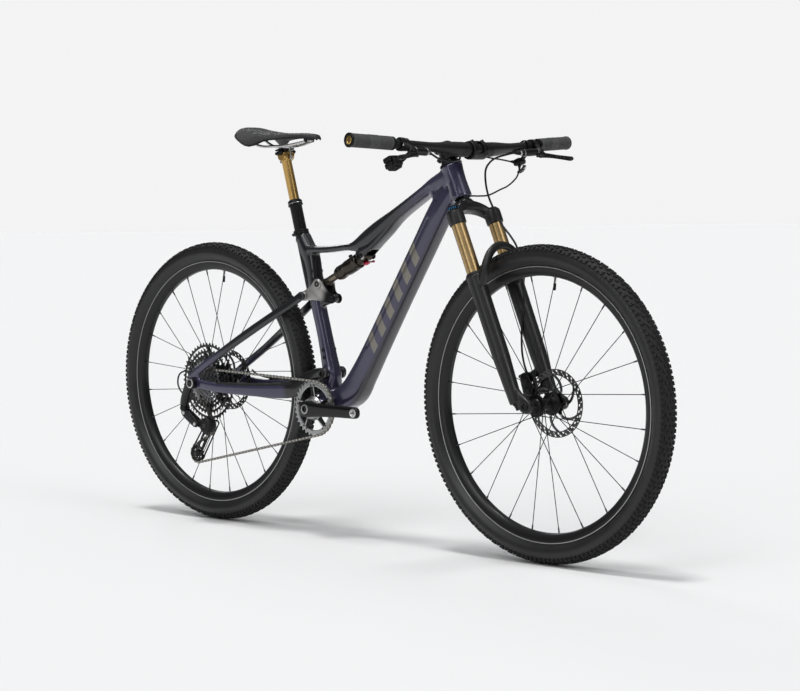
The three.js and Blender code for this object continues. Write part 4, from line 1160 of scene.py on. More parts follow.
def fork_crown():
    s = Shape()
    s.disc(14.3, 515, 661, 40, at=STEER_MM, axis="Z")
    s.lathe([(0, 517), (24, 518), (25, 520), (22, 527), (19, 529.5), (0, 529.5)], 40, at=STEER_MM,
            axis="Z")
    for side in (-1, 1):
        leg = leg_frame(side)
        s.lathe([(0, 460), (19.5, 460), (20.6, 461.5), (20.8, 480), (20.4, 492), (18.6, 496.6),
                 (0, 496.8)], 40,
                at=leg, axis="Z")
        # The arm of the crown, which flares from the steerer into the leg's socket.
        arm = [
            (0, 0, 512, 14, 20), (3, side * 18, 511, 14, 19), (8, side * 36, 504, 14, 17),
            (14, side * 52, 492, 14, 15), (19, side * 64, 481, 13, 15),
        ]
        rings = []
        for x, y, z, high, deep in catmull(arm, 5):
            rings.append([(x + c * deep, y, z + q * high) for c, q in ellipse_ring(28, 2.8)])
        s.skin(rings, at=STEER_MM)
    cuts = Shape()
    # The hollow between the legs under the arch, and the milled pockets in front.
    hollow = [(-42, 470), (-30, 484), (-15, 493.5), (0, 497), (15, 493.5), (30, 484), (42, 470),
              (40, 455), (-40, 455)]
    cuts.skin([[(x, y, z) for y, z in hollow] for x in (-40, 60)], at=STEER_MM)
    for side in (-1, 1):
        pocket = [(12, 500), (26, 496), (38, 487), (42, 494), (34, 504), (20, 509), (12, 509)]
        cuts.skin([[(x, side * y, z) for y, z in pocket] for x in (23.5, 50)], at=STEER_MM)
    fused("fork_crown_skin", s, "steering", SATIN, replaces=("fork_crown",), voxel=1.7,
          rounds=5,
          cuts=[cuts])
    d = Shape()
    left = leg_frame(1)
    d.lathe([(0, 496), (15.5, 496), (15.5, 498.6), (14, 500), (9, 500.4), (8, 499.4), (0, 499.4)], 40,
            at=left,
            axis="Z")
    d.disc(4.6, 499, 502.2, 20, 1, at=left, axis="Z")
    d.studs(12, 12, 1.0, 498.4, 500.6, at=left, axis="Z")
    build("air_cap", d, "steering", [BLACK, BLUE])
    k2 = Shape()
    right = leg_frame(-1)
    k2.lathe([(0, 497.4), (12.4, 497.4), (13, 498.4), (12.6, 503.6), (11.4, 505), (7.4, 505),
              (6.8, 508.4),
              (5.8, 509), (0, 509)], 40, at=right, axis="Z")
    k2.studs(16, 12.4, 0.8, 498.6, 504.4, 6, 1, at=right, axis="Z")
    k2.tube([(11, 0, 502), (16.5, -1, 502.6), (16.5, 1, 502.6)], 2.2, 10, at=right)
    build("damper_knob", k2, "fork_adjuster", [BLACK, BLUE], replaces=("fork_adjuster",))


def stanchions():
    for side, name in ((1, "left"), (-1, "right")):
        s = Shape()
        leg = leg_frame(side)
        s.lathe([(0, 228), (17, 228), (17, 462), (0, 462)], 56, at=leg, axis="Z")
        for k in range(5):
            z = 352 + 18 * k
            s.lathe([(16.8, z), (17.06, z + 0.1), (17.06, z + 0.5), (16.8, z + 0.6)], 56, 1, at=leg,
                    axis="Z")
        build(f"stanchion_tube_{name}", s, "steering", [STANCHION_GOLD, DARK_STEEL],
              replaces=(f"stanchion_{name}",))


def fork_lowers():
    s = Shape()
    for side in (-1, 1):
        leg = leg_frame(side)
        s.lathe([(0, 16), (15.5, 17), (16.5, 40), (18.5, 90), (20.4, 130), (20.8, 240), (21.4, 322),
                 (22, 331),
                 (21.4, 334), (0, 334)], 48, at=leg, axis="Z")
        # The foot sweeps forward from the leg to the axle.
        outer, inner = 71, 56
        mid, half = side * (outer + inner) / 2, (outer - inner) / 2
        s.loft([(22, mid, 46, 15, half), (30, mid, 24, 16, half), (40, mid, 4, 17.5, half),
                (46, mid, -9, 13, half - 1)], 32, 3.2, at=STEER_MM)
        s.disc(17, side * 55.8, side * 71.2, 44, at=STEER_MM @ shift(FORK_OFFSET), edge=1.5)
    # The arch in front of the legs, broad at its ends and hollow behind.
    arch = [
        (28, -67, 298, 9, 13), (44, -66, 320, 8, 11), (58, -60, 346, 7.5, 10), (66, -44, 369, 7, 9.5),
        (69, -22, 383, 6.5, 9.5), (70, 0, 387, 6.5, 9.5), (69, 22, 383, 6.5, 9.5), (66, 44, 369, 7, 9.5),
        (58, 60, 346, 7.5, 10), (44, 66, 320, 8, 11), (28, 67, 298, 9, 13),
    ]
    s.sweep(arch, 28, 3.2, (1, 0, 0), False, STEER_MM)
    # Caliper posts inside the left leg.
    for z in (49, 90):
        s.tube([(12, 60, z), (-6, 56, z), (-13, 50, z)], [11, 9, 7], 20, at=STEER_MM)
    cuts = Shape()
    for side in (-1, 1):
        leg = leg_frame(side)
        cuts.disc(17.8, 300, 350, 40, at=leg, axis="Z")
    cuts.disc(7.6, -90, 90, 32, at=STEER_MM @ shift(FORK_OFFSET))
    # The round recess in the right foot.
    cuts.disc(11.5, -75, -68.6, 36, at=STEER_MM @ shift(FORK_OFFSET))
    fused("fork_lowers_skin", s, "fork_lowers", SATIN, replaces=("fork_lowers",),
          voxel=1.8, rounds=5,
          cuts=[cuts])
    d = Shape()
    for side in (-1, 1):
        leg = leg_frame(side)
        d.lathe([(17.1, 332), (21.4, 332), (21.8, 334.5), (19.8, 337.6), (18.2, 339.6), (17.1, 339.8)],
                48, 1, at=leg,
                axis="Z")
        # Foot nuts, and below them a rebound dial on the right.
        d.disc(7.5, 8, 18, 6, at=leg, axis="Z", edge=0.6)
        d.disc(9.2, 13, 19, 28, at=leg, axis="Z", edge=0.8)
    d.disc(6, 1, 9, 20, 1, at=leg_frame(-1), axis="Z", edge=0.8)
    # The hose guide on the arch's left.
    d.tube([(60, 50, 340), (74, 47, 342), (78, 42, 342), (74, 37.5, 343), (66, 38, 344)], 2.0, 10,
           at=STEER_MM,
           smooth=5)
    build("fork_seals", d, "fork_lowers", [BLACK, GUARD, DARK_STEEL])


def front_axle_and_caliper():
    a = Shape()
    here = STEER_MM @ shift(FORK_OFFSET)
    a.disc(6.8, -72.4, 72.4, 32, at=here)
    a.lathe([(0, -68.8), (10.4, -68.8), (10.4, -73.6), (9.4, -74.6), (5.2, -74.6), (4.6, -72), (0, -72)],
            36,
            at=here)
    a.lathe([(5.2, -74.7), (6.8, -74.9), (6.8, -75.2), (5.2, -75.2)], 36, 0, at=here)
    a.lathe([(0, 66), (9, 66), (9, 72.6), (8, 73.4), (5, 73.4), (4.4, 71), (0, 71)], 32, at=here)
    build("front_through_axle", a, "fork_lowers", [BLACK, STEEL], replaces=("front_axle",))
    caliper("front_brake", STEER_MM, (-20, 45, 38), (-14, 45, 92), 41, "fork_lowers", "front_caliper", -1)


def caliper(name, at, low, high, disc_y, body, node, back):
    """Two piston halves astride a disc, held by a bridge, with their bolts and hose banjo."""
    low, high = Vector(low), Vector(high)
    along = (high - low).normalized()
    out = Vector((along.z, 0, -along.x)) * -back
    turn = Matrix((out, Vector((0, 1, 0)), along)).transposed().to_4x4()
    place = at @ Matrix.Translation((low + high) / 2) @ turn
    half = (high - low).length / 2
    y = disc_y - 45
    s = Shape()
    for side, thick in ((-1, 9.5), (1, 12.5)):
        inner = y + side * 3.0
        outer = y + side * (3.0 + thick)
        lobes = [
            (13, -half - 6), (15, -half + 4), (15, half - 6), (11, half + 3), (2, half + 6),
            (-8, half + 4),
            (-12, half - 4), (-12, -half + 2), (-8, -half - 5), (2, -half - 8),
        ]
        s.prism(lobes, inner, outer, at=place, inset=2.0)
        for k in (-0.45, 0.45):
            s.disc(10, outer - side * 2, outer + side * 2.4, 32, at=place @ shift(1.5, 0, k * half),
                   edge=1.0)
    for k in (-half - 1, half - 1):
        s.box((-13, y - 12, k - 5), (-5, y + 14, k + 5), at=place, edge=2.2)
    s.box((-15, y - 10, -half + 4), (-9, y + 12, half - 4), at=place, edge=2.0)
    build(f"{name}_caliper", s, body, BLACK, replaces=(node,), bevel=0.7)
    d = Shape()
    for k in (-0.45, 0.45):
        spot = place @ shift(1.5, 0, k * half)
        d.lathe([(0, y + 15), (7, y + 15), (7.6, y + 17.4), (6.4, y + 18.4), (0, y + 18.4)], 28, at=spot)
        d.lathe([(0, y - 11), (7, y - 11), (7.4, y - 14), (6, y - 14.8), (0, y - 14.8)], 28, at=spot)
    for k in (-half - 1, half - 1):
        d.bolt((-9, y + 14, k), 4.2, 3.6, at=place, side=1)
        d.bolt((-9, y - 12, k), 4.2, 2.8, at=place, side=-1)
    d.box((-9, y - 2.2, -7), (14, y + 2.2, 7), 1, at=place, edge=0.8)
    build(f"{name}_fittings", d, body, [DARK_STEEL, STEEL])


fork_crown()
stanchions()
fork_lowers()
front_axle_and_caliper()


# ------------------------------------------------------------------ stem, bar and controls
def bar_point(t):
    """The bar's middle line in the steering frame. t is -1 at the right end and 1 at the left."""
    bend = ease((abs(t) - 0.05) / 0.95) * 0.35 + 0.65 * abs(t)
    return Vector((
        BAR_REACH + (58.6 - BAR_REACH) * bend, t * BAR_HALF_WIDTH,
        BAR_HEIGHT + (656 - BAR_HEIGHT) * bend))


def bar_frame(t):
    """The row frame's millimetres from a frame whose Y axis runs along the bar at t."""
    p = bar_point(t)
    ahead = (bar_point(t + 0.01) - bar_point(t - 0.01)).normalized()
    return STEER_MM @ turned_to(p, ahead)


def stem():
    s = Shape()
    s.lathe([(0, 632.6), (20.4, 632.6), (21, 634), (20.6, 655), (19.4, 670), (18.4, 674.6), (0, 675)], 44,
            at=STEER_MM, axis="Z")
    s.loft([(-4, 0, 653, 17, 18.5), (12, 0, 651, 18, 18.5), (34, 0, 645, 15.5, 16.5),
            (52, 0, 639, 14, 16),
            (BAR_REACH - 20, 0, 631, 15, 21), (BAR_REACH - 6, 0, 626, 18, 25)], 32, 3.4, at=STEER_MM)
    s.disc(22.4, -26, 26, 48, at=STEER_MM @ shift(BAR_REACH, 0, BAR_HEIGHT), edge=1.5)
    # Clamp bolts' bosses behind the steerer.
    for z in (642, 664):
        s.disc(6.6, -15, 15, 24, at=STEER_MM @ shift(-19.5, 0, z), edge=1)
    cuts = Shape()
    cuts.disc(17.9, -60, 60, 40, at=STEER_MM @ shift(BAR_REACH, 0, BAR_HEIGHT))
    cuts.box((-40, -1.6, 620), (-16, 1.6, 700), at=STEER_MM)
    for side in (-1, 1):
        cuts.loft([(14, side * 22, 650, 7, 7), (36, side * 20.5, 644, 6.5, 7),
                   (54, side * 21, 639, 5, 5)], 20,
                  at=STEER_MM)
    # The faceplate's window and its parting line.
    plate_cuts = Shape()
    plate_cuts.box((BAR_REACH + 6, -9, BAR_HEIGHT - 14), (BAR_REACH + 60, 9, BAR_HEIGHT + 14),
                   at=STEER_MM)
    for sign in (-1, 1):
        z0, z1 = sorted((BAR_HEIGHT + sign * 15, BAR_HEIGHT + sign * 26))
        plate_cuts.box((BAR_REACH + 3.2, -40, z0), (BAR_REACH + 5.2, 40, z1), at=STEER_MM)
    fused("stem_body", s, "steering", BLACK, replaces=("stem",), voxel=1.5, rounds=4,
          cuts=[cuts, plate_cuts])
    d = Shape()
    for side in (-1, 1):
        for z in (BAR_HEIGHT - 17, BAR_HEIGHT + 17):
            d.disc(3.9, BAR_REACH + 8, BAR_REACH + 16.4, 20, at=STEER_MM @ shift(0, side * 17.5, z),
                   axis="X", edge=0.6)
        for z in (642, 664):
            d.bolt((-19.5, side * 15, z), 4.2, 2.6, at=STEER_MM, side=side)
    d.lathe([(0, 674), (17.2, 674.4), (17.8, 675.4), (17.2, 677.4), (13.5, 680), (6.6, 680), (6, 677.6),
             (0, 677.6)],
            44, 1, at=STEER_MM, axis="Z")
    d.lathe([(0, 677), (5.2, 677), (5.2, 679.6), (4.4, 680), (2.8, 680), (2.6, 678), (0, 678)], 24,
            at=STEER_MM,
            axis="Z")
    build("stem_bolts_and_cap", d, "steering", [DARK_STEEL, BLACK])


def handlebar():
    s = Shape()
    steps = [-0.985 + 1.97 * k / 60 for k in range(61)]
    points, radii = [], []
    for t in steps:
        points.append(bar_point(t))
        y = abs(t) * BAR_HALF_WIDTH
        radii.append(11.1 + 6.3 * ease((150 - y) / 95))
    s.tube(points, radii, 32, at=STEER_MM)
    # Fine knurled bands where the stem and the levers clamp.
    for side in (-1, 1):
        for k in range(9):
            t = side * (32 + 2.4 * k) / BAR_HALF_WIDTH
            s.lathe([(17.2, -0.4), (17.62, -0.3), (17.62, 0.3), (17.2, 0.4)], 36, 1, at=bar_frame(t))
    build("handlebar_tube", s, "steering", [CARBON, BLACK], replaces=("handlebar",))
    for side, name in ((1, "left"), (-1, "right")):
        grip(side, name)


def grip(side, name):
    """A lock-on grip: a ribbed sleeve between its clamp and a gold end cap."""
    length = GRIP_LENGTH
    middle = BAR_HALF_WIDTH - length / 2 + 1
    place = bar_frame(side * middle / BAR_HALF_WIDTH)
    flip = place @ Matrix.Diagonal((1, side, 1, 1))
    h = length / 2
    s = Shape()
    profile = [(12.2, -h + 7.5), (15.2, -h + 7.5), (15.9, -h + 9)]
    y = -h + 12
    while y < h - 11:
        flat = -20 < y < 8
        deep = 0.35 if flat else 1.1
        profile += [(15.9, y), (15.9, y + 1.7), (15.9 - deep, y + 2.1), (15.9 - deep, y + 3.1)]
        y += 3.5
    profile += [(15.9, y), (16.6, h - 6.4), (16.6, h - 4.6), (12.2, h - 4.6)]
    s.lathe(profile, 40, at=flip)
    # A raised diamond pad under the palm.
    for i in range(9):
        for k in range(7):
            a = math.radians(-150 + 20 * k + (10 if i % 2 else 0))
            spot = flip @ shift(0, -18 + i * 3.2, 0) @ Matrix.Rotation(a, 4, "Y")
            s.box((15.2, -1.2, -2.0), (16.3, 1.2, 2.0), at=spot, edge=0.4)
    build(f"grip_sleeve_{name}", s, "steering", GRIP, replaces=(f"grip_{name}",))
    c = Shape()
    c.lathe([(12.2, -h), (15.2, -h), (15.8, -h + 1), (15.8, -h + 6.4), (15.2, -h + 7.4),
             (12.2, -h + 7.4)], 40,
            at=flip)
    c.bolt((-14.6, -h + 2.2, 2), 2.2, 1.2, at=flip)
    c.lathe([(9.6, h - 4.4), (16.6, h - 4.4), (16.9, h - 3.4), (16.9, h - 1.2), (15.6, h), (11.4, h),
             (10.4, h - 1.2),
             (9.6, h - 1.2)], 44, 0, at=flip)
    c.lathe([(0, h - 4), (9.8, h - 4), (9.8, h - 1), (9.0, h - 0.4), (5.4, h - 0.4), (5, h - 1.0),
             (0, h - 1.0)], 44, 1,
            at=flip)
    build(f"grip_clamp_{name}", c, "steering", [BLACK, GOLD])


def brake_lever(side, name):
    t = side * LEVER_PLACE / BAR_HALF_WIDTH
    c = bar_point(t)
    place = bar_frame(t)
    s = Shape()
    # The hinged clamp round the bar.
    s.lathe([(12.0, -6.4), (15.4, -6.4), (16, -5.4), (16, 5.4), (15.4, 6.4), (12.0, 6.4)], 40, at=place)
    s.box((-20, -6, -4), (-12.4, 6, 4), at=place, edge=1.4)
    s.box((11, -6.4, -14), (19, 6.4, -3), at=place, edge=1.4)
    # The reservoir and master cylinder: a waisted tube that swells towards the lever's pivot.
    a, b = Vector((82, side * 158, 617)), Vector((92, side * 233, 617))
    ahead = (b - a).normalized()
    body = STEER_MM @ turned_to(a, ahead)
    length = (b - a).length
    s.lathe([(0, 0), (4.4, 0), (5, 1), (5, 7), (7.8, 8.4), (8.6, 12), (9.0, 20), (9.3, 34), (9.0, 50),
             (9.2, length - 9),
             (7.8, length - 2), (4.5, length), (0, length)], 40, at=body)
    s.loft([(c.x + 13, c.y, c.z - 7, 6.6, 6.4), (93, side * 222, 618, 7.4, 7),
            (97, side * 221, 610, 6, 7.6)], 24, 2.6,
           at=STEER_MM)
    # The fork that holds the blade's pivot.
    for z in (602.6, 609.4):
        s.loft([(88, side * 216, z + 3, 2.2, 8), (97, side * 222, z, 2.2, 7),
                (103, side * 224, z, 1.6, 4)], 20, 2.4,
               at=STEER_MM)
    build(f"brake_master_{name}", s, "steering", BLACK,
          replaces=(f"brake_lever_body_{name}",),
          bevel=0.4)
    d = Shape()
    d.lathe([(4.8, 2), (6.2, 2), (6.6, 3), (6.6, 6.4), (6.2, 7.2), (4.8, 7.2)], 6, at=body)
    for y in (13, 56):
        d.lathe([(9.0, y), (9.5, y + 0.2), (9.5, y + 1.2), (9.0, y + 1.4)], 40, at=body)
    d.bolt((15, -6.3, -9), 3.0, 1.6, at=place, side=-1)
    d.tube([(96, side * 222, 600), (96, side * 222, 616)], 3.2, 18, at=STEER_MM)
    build(f"brake_hardware_{name}", d, "steering", [STEEL])

    blade = Shape()
    path = [
        (94, side * 214, 605.5, 3.6, 6.2), (99, side * 226, 604, 3.4, 6.4),
        (104, side * 244, 600, 2.6, 5.6),
        (108, side * 264, 595.6, 2.2, 5.4), (112, side * 284, 591.4, 2.3, 5.8),
        (114.6, side * 297, 588.6, 2.8, 6.0),
        (117.6, side * 304, 587.6, 3.6, 4.6), (118.6, side * 306.4, 587.4, 1.6, 2.0),
    ]
    blade.sweep(path, 24, 2.6, (0, 0, 1), True, STEER_MM)
    for k in range(3):
        x, y, z = (107 + 2.2 * k, side * (258 + 11 * k), 597 - 2.4 * k)
        spot = STEER_MM @ turned_to((x, y, z), (1, side * 0.2, 0))
        blade.disc(2.2, -2.8, 2.8, 20, 1, at=spot, edge=0.4)
    build(f"brake_blade_skin_{name}", blade, f"brake_blade_{name}", [BLACK, DARK_STEEL],
          replaces=(f"brake_blade_{name}",))


def shifter():
    x, y, z = 44, -243, 610
    s = Shape()
    body = [(-17, -10), (-13, -17), (6, -17), (15, -11), (17, 0), (14, 10), (4, 14), (-10, 13), (-17, 6)]
    outline = [(x + a, z + b) for a, b in body]
    s.prism(outline, y - 12.8, y + 16.6, at=STEER_MM, inset=3.0)
    s.loft([(x + 2, y + 14, z + 2, 9, 5), (x + 5, y + 23, z + 4, 8, 5), (x + 14, y + 27, z + 6, 6, 5)],
           24, 2.6,
           at=STEER_MM)
    s.tube([(x + 6, y + 27, z + 4), (72, y + 27, 617)], 5, 20, at=STEER_MM)
    # Ribs on the pod's lower cover.
    for k in range(5):
        s.box((x - 12 + 5 * k, y - 11, z - 18.2), (x - 9.6 + 5 * k, y + 13, z - 16), at=STEER_MM,
              edge=0.5)
    build("shifter_pod_shell", s, "steering", PLASTIC, replaces=("shifter_pod",), bevel=0.8)
    d = Shape()
    ring = bar_frame((y + 27) / BAR_HALF_WIDTH)
    d.lathe([(12.0, -4.4), (14.6, -4.4), (15.2, -3.6), (15.2, 3.6), (14.6, 4.4), (12.0, 4.4)], 40,
            at=ring)
    d.box((-19, -4.2, -4), (-13, 4.2, 4), at=ring, edge=1.2)
    build("shifter_clamp", d, "steering", [BLACK, DARK_STEEL])
    for name, low, high in (("up", -1, 11), ("down", -15, -3)):
        b = Shape()
        b.box((x - 12, y - 21, z + low), (x + 12, y - 15.2, z + high), at=STEER_MM, edge=2.0)
        for k in range(6):
            b.box((x - 9.4 + 3.4 * k, y - 21.8, z + low + 2), (x - 7.8 + 3.4 * k, y - 20.4, z + high - 2),
                  at=STEER_MM, edge=0.3)
        build(f"shift_button_cap_{name}", b, f"shift_button_{name}", GUARD,
              replaces=(f"shift_button_{name}",), bevel=0.5)


def remote():
    x, y, z = 46, 196, 612
    s = Shape()
    outline = [(x - 13, z - 6), (x - 9, z - 9), (x + 8, z - 9), (x + 11, z - 4), (x + 10, z + 5),
               (x + 4, z + 7),
               (x - 9, z + 7), (x - 13, z + 2)]
    s.prism(outline, y - 13, y + 11, at=STEER_MM, inset=2.2)
    s.tube([(x + 4, y, z), (64, y + 4, 620)], 5, 20, at=STEER_MM)
    for dx, dy, dz in ((-8, -13, 2), (0, -6, -9)):
        spot = STEER_MM @ turned_to((x + dx, y + dy, z + dz), (0, -1, 0) if dz > 0 else (0.1, -0.2, -1))
        s.lathe([(0, -4), (3.4, -4), (3.8, -1), (3.4, 2.6), (0, 2.6)], 20, at=spot)
    ring = bar_frame((y + 4) / BAR_HALF_WIDTH)
    s.lathe([(12.0, -4), (14.8, -4), (15.4, -3.2), (15.4, 3.2), (14.8, 4), (12.0, 4)], 40, at=ring)
    build("remote_housing", s, "steering", BLACK, replaces=("remote_body",), bevel=0.5)
    b = Shape()
    b.loft([(x + 1, y + 10, z - 14, 2.4, 6), (x - 8, y + 13, z - 16.6, 2.6, 7),
            (x - 17, y + 15, z - 17.4, 2.6, 8),
            (x - 26, y + 18.6, z - 16.6, 2.8, 8), (x - 31, y + 20, z - 15.2, 1.8, 5)], 24, 2.8,
           at=STEER_MM)
    b.disc(4.6, y + 7.4, y + 12.4, 24, 1, at=STEER_MM @ shift(x, 0, z - 14.4), edge=0.5)
    for k in range(4):
        b.box((x - 27 + 3.2 * k, y + 12, z - 20.3), (x - 25.6 + 3.2 * k, y + 22, z - 18.6), at=STEER_MM,
              edge=0.3)
    build("remote_paddle", b, "remote_lever", [BLACK, STEEL], replaces=("remote_lever",))


stem()
handlebar()
for side, name in ((1, "left"), (-1, "right")):
    brake_lever(side, name)
shifter()
remote()


# ------------------------------------------------------------------ hoses
HOSES = {
    "front_brake_hose": (2.5, "medium", [
        (80, 159, 617.5), (76, 146, 620), (67, 125, 619), (59, 102, 616), (50, 84, 609), (42, 68, 593),
        (38, 58, 565), (37, 52, 531), (40, 50, 500), (49, 49, 451), (68, 45, 410), (80, 40, 376),
        (72, 42, 340),
        (56, 48, 295), (44, 45, 250), (24, 42.5, 215), (8, 41.5, 180), (-6, 42, 145), (-13, 44, 115),
        (-15, 47, 97.5),
    ]),
    "lockout_cable": (2.0, "medium", [
        (46, 190, 602), (47, 184, 592), (44, 166, 570), (37, 135, 552), (34, 105, 543), (32, 60, 530),
        (32, 25, 528),
        (32, -8, 528), (31, -36, 521), (28, -51, 512), (26, -57, 507),
    ]),
    "remote_cable": (2.0, "medium", [
        (38, 182.5, 614), (40, 168, 614), (47, 125, 616), (54, 80, 617), (61, 46, 619), (64, 28, 622),
    ]),
    "rear_brake_hose": (2.5, "medium", [
        (81.6, -159.5, 616.5), (78, -146, 614), (70, -118, 607), (66, -85, 603), (64, -56, 604),
        (60, -36, 610),
        (54, -24, 618),
    ]),
}


def hose(node, radius, points):
    s = Shape().tube(catmull(points, 8), radius, 14, at=STEER_MM)
    start = Vector(points[0])
    piece = build(f"{node}_jacket", s, None, HOSE, replaces=(node,), angle=80)
    if node == "front_brake_hose":
        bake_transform(piece)
    else:
        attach(piece, "steering")
    # A crimped ferrule at the start.
    f = Shape()
    ahead = (Vector(points[1]) - start).normalized()
    spot = STEER_MM @ turned_to(start, ahead)
    f.lathe([(radius - 0.2, -3), (radius + 1.4, -3), (radius + 1.6, 2), (radius + 1.0, 8),
             (radius + 0.5, 12),
             (radius - 0.2, 12)], 24, at=spot)
    for k in range(3):
        f.lathe([(radius + 1.2, 1 + 2 * k), (radius + 1.9, 1.4 + 2 * k), (radius + 1.2, 1.8 + 2 * k)], 24,
                at=spot)
    build(f"{node}_ferrule", f, "steering", GUARD)


for node, (radius, stiffness, points) in HOSES.items():
    hose(node, radius, points)


# ------------------------------------------------------------------ wheels
def tyre(prefix, place, body):
    s = Shape()
    # The casing: from one bead over the crown to the other.
    half = [(RIM_OUTER + 0.5, 13.5), (RIM_OUTER + 2.0, 15.8), (RIM_OUTER + 6, 19.5),
            (RIM_OUTER + 13, 25.0),
            (RIM_OUTER + 21, 27.4), (RIM_OUTER + 29, 26.2), (RIM_OUTER + 37, 22.2),
            (RIM_OUTER + 43, 15.4),
            (RIM_OUTER + 46.6, 7.8), (RIM_OUTER + 47.7, 0)]
    smooth = catmull(half, 3)
    outer = [(r, y) for r, y in smooth] + [(r, -y) for r, y in reversed(smooth[:-1])]
    inner = [(RIM_OUTER + 0.5, -11), (RIM_OUTER + 8, -14), (RIM_OUTER + 34, 0), (RIM_OUTER + 8, 14),
             (RIM_OUTER + 0.5, 11)]
    count = len(outer)
    profile = outer + inner
    s.skin([[(x, y, z) for x, z in circle(r, HOOP_SEGMENTS)] for r, y in profile], closed=True)
    tread = [i for i, (r, y) in enumerate(profile[:count]) if r > RIM_OUTER + 34]
    for i in tread[:-1]:
        for k in range(HOOP_SEGMENTS):
            s.numbers[i * HOOP_SEGMENTS + k] = 1

    # Knobs: low ramped ones in the middle, taller blocks at the shoulders.
    major = TYRE_RADIUS - TYRE_HALF_WIDTH

    def knob(angle, lean, long, wide, high, base=26.6, skew=0.0, pull=0.88):
        points = []
        for level, scale in ((base - 0.8, 1.0), (base + high * 0.65, 0.93), (base + high, pull)):
            for a, b in ((-1, -1), (1, -1), (1, 1), (-1, 1)):
                q = lean + b * wide / 2 * scale / level
                r = major + level * math.cos(q)
                y = level * math.sin(q)
                turn = angle + (a * long / 2 * scale + b * skew) / r
                points.append((r * math.cos(turn), y, r * math.sin(turn)))
        faces = []
        for level in (0, 4):
            faces += [[level + k, level + (k + 1) % 4, level + 4 + (k + 1) % 4,
                       level + 4 + k] for k in range(4)]
        faces.append([8, 9, 10, 11])
        faces.append([3, 2, 1, 0])
        s.add(points, faces, 1)

    for k in range(TREAD_PITCHES):
        a = k / TREAD_PITCHES * math.tau
        step = math.tau / TREAD_PITCHES
        odd = k % 2
        if odd:
            knob(a, 0.0, 6.0, 6.0, 3.0)
            for side in (-1, 1):
                knob(a + step * 0.1, side * 0.44, 6.8, 5.4, 3.4, skew=side * 0.8)
        else:
            for side in (-1, 1):
                knob(a, side * 0.2, 6.6, 5.6, 3.1, skew=side * 0.6)
                knob(a - step * 0.1, side * 0.64, 6.4, 5.4, 3.5, skew=-side * 0.6)
        for side in (-1, 1):
            knob(a, side * (0.92 if odd else 0.89), 7.8, 6.6 if odd else 6.0, 4.6, base=26.0,
                 skew=side * 0.8)
            knob(a + step * 0.5, side * 1.12, 4.0, 2.4, 1.6, base=26.4)
    build(f"{prefix}_tyre_tread", s, body, [CASING, TREAD], place, (f"{prefix}_tyre",), angle=32)


def rim(prefix, place, body, flange_right, flange_left):
    s = Shape()
    s.lathe([
        (RIM_INNER, -5), (RIM_INNER + 0.6, -7), (RIM_INNER + 6, -12.4), (RIM_INNER + 13, -15.4),
        (RIM_OUTER - 1, -16.6),
        (RIM_OUTER + 0.2, -16.4), (RIM_OUTER + 0.4, -13.4), (RIM_OUTER - 5.5, -13), (RIM_OUTER - 8, -5),
        (RIM_OUTER - 8, 5), (RIM_OUTER - 5.5, 13), (RIM_OUTER + 0.4, 13.4), (RIM_OUTER + 0.2, 16.4),
        (RIM_OUTER - 1, 16.6), (RIM_INNER + 13, 15.4), (RIM_INNER + 6, 12.4), (RIM_INNER + 0.6, 7),
        (RIM_INNER, 5),
    ], HOOP_SEGMENTS)
    # The bare lip that catches the light, on each side.
    for side in (-1, 1):
        s.lathe([(RIM_OUTER - 2.0, side * 16.3), (RIM_OUTER - 0.6, side * 16.95),
                 (RIM_OUTER + 0.9, side * 16.6),
                 (RIM_OUTER + 0.4, side * 15.8)], HOOP_SEGMENTS, 1)
    # The valve opposite the join.
    valve = Matrix.Rotation(math.radians(97), 4, "Y")
    s.disc(2.8, -RIM_INNER - 3, -RIM_INNER + 30, 14, 2, at=valve, axis="X", edge=0.3)
    s.disc(4.6, -RIM_INNER - 2, -RIM_INNER + 2.5, 16, 2, at=valve, axis="X", edge=0.4)
    s.disc(3.4, -RIM_INNER + 14, -RIM_INNER + 31, 14, 3, at=valve, axis="X", edge=1.0)
    build(f"{prefix}_rim_hoop", s, body, [CARBON, SILVER, STEEL, GUARD], place,
          (f"{prefix}_rim",))
    w = Shape()
    step = math.tau / SPOKES
    for k in range(SPOKES):
        a = (k + 0.5) * step
        y = flange_left if k % 2 == 0 else flange_right
        b = a + (1 if k % 4 < 2 else -1) * math.radians(62)
        y_hub = y + (1.6 if k % 4 < 2 else -1.6)
        start = Vector((24.2 * math.cos(b), y_hub, 24.2 * math.sin(b)))
        end = Vector(((RIM_INNER + 1) * math.cos(a), y * 0.08, (RIM_INNER + 1) * math.sin(a)))
        run = end - start
        points = [start, start + run * 0.06, start + run * 0.10, start + run * 0.93, start + run * 0.96,
                  end]
        w.tube(points, [1.25, 1.25, 1.0, 1.0, 1.2, 1.2], 8)
        nipple = end - run.normalized() * 14
        w.tube([nipple, nipple + run.normalized() * 1.0, end], [1.3, 1.9, 2.0], 8, 1)
        w.tube([start + Vector((0, -2.2 if y_hub > y else 2.2, 0)),
                start + Vector((0, 0.9 if y_hub > y else -0.9, 0))],
               1.9, 10)
    build(f"{prefix}_spokes", w, body, [SPOKE_STEEL, DARK_STEEL], place)


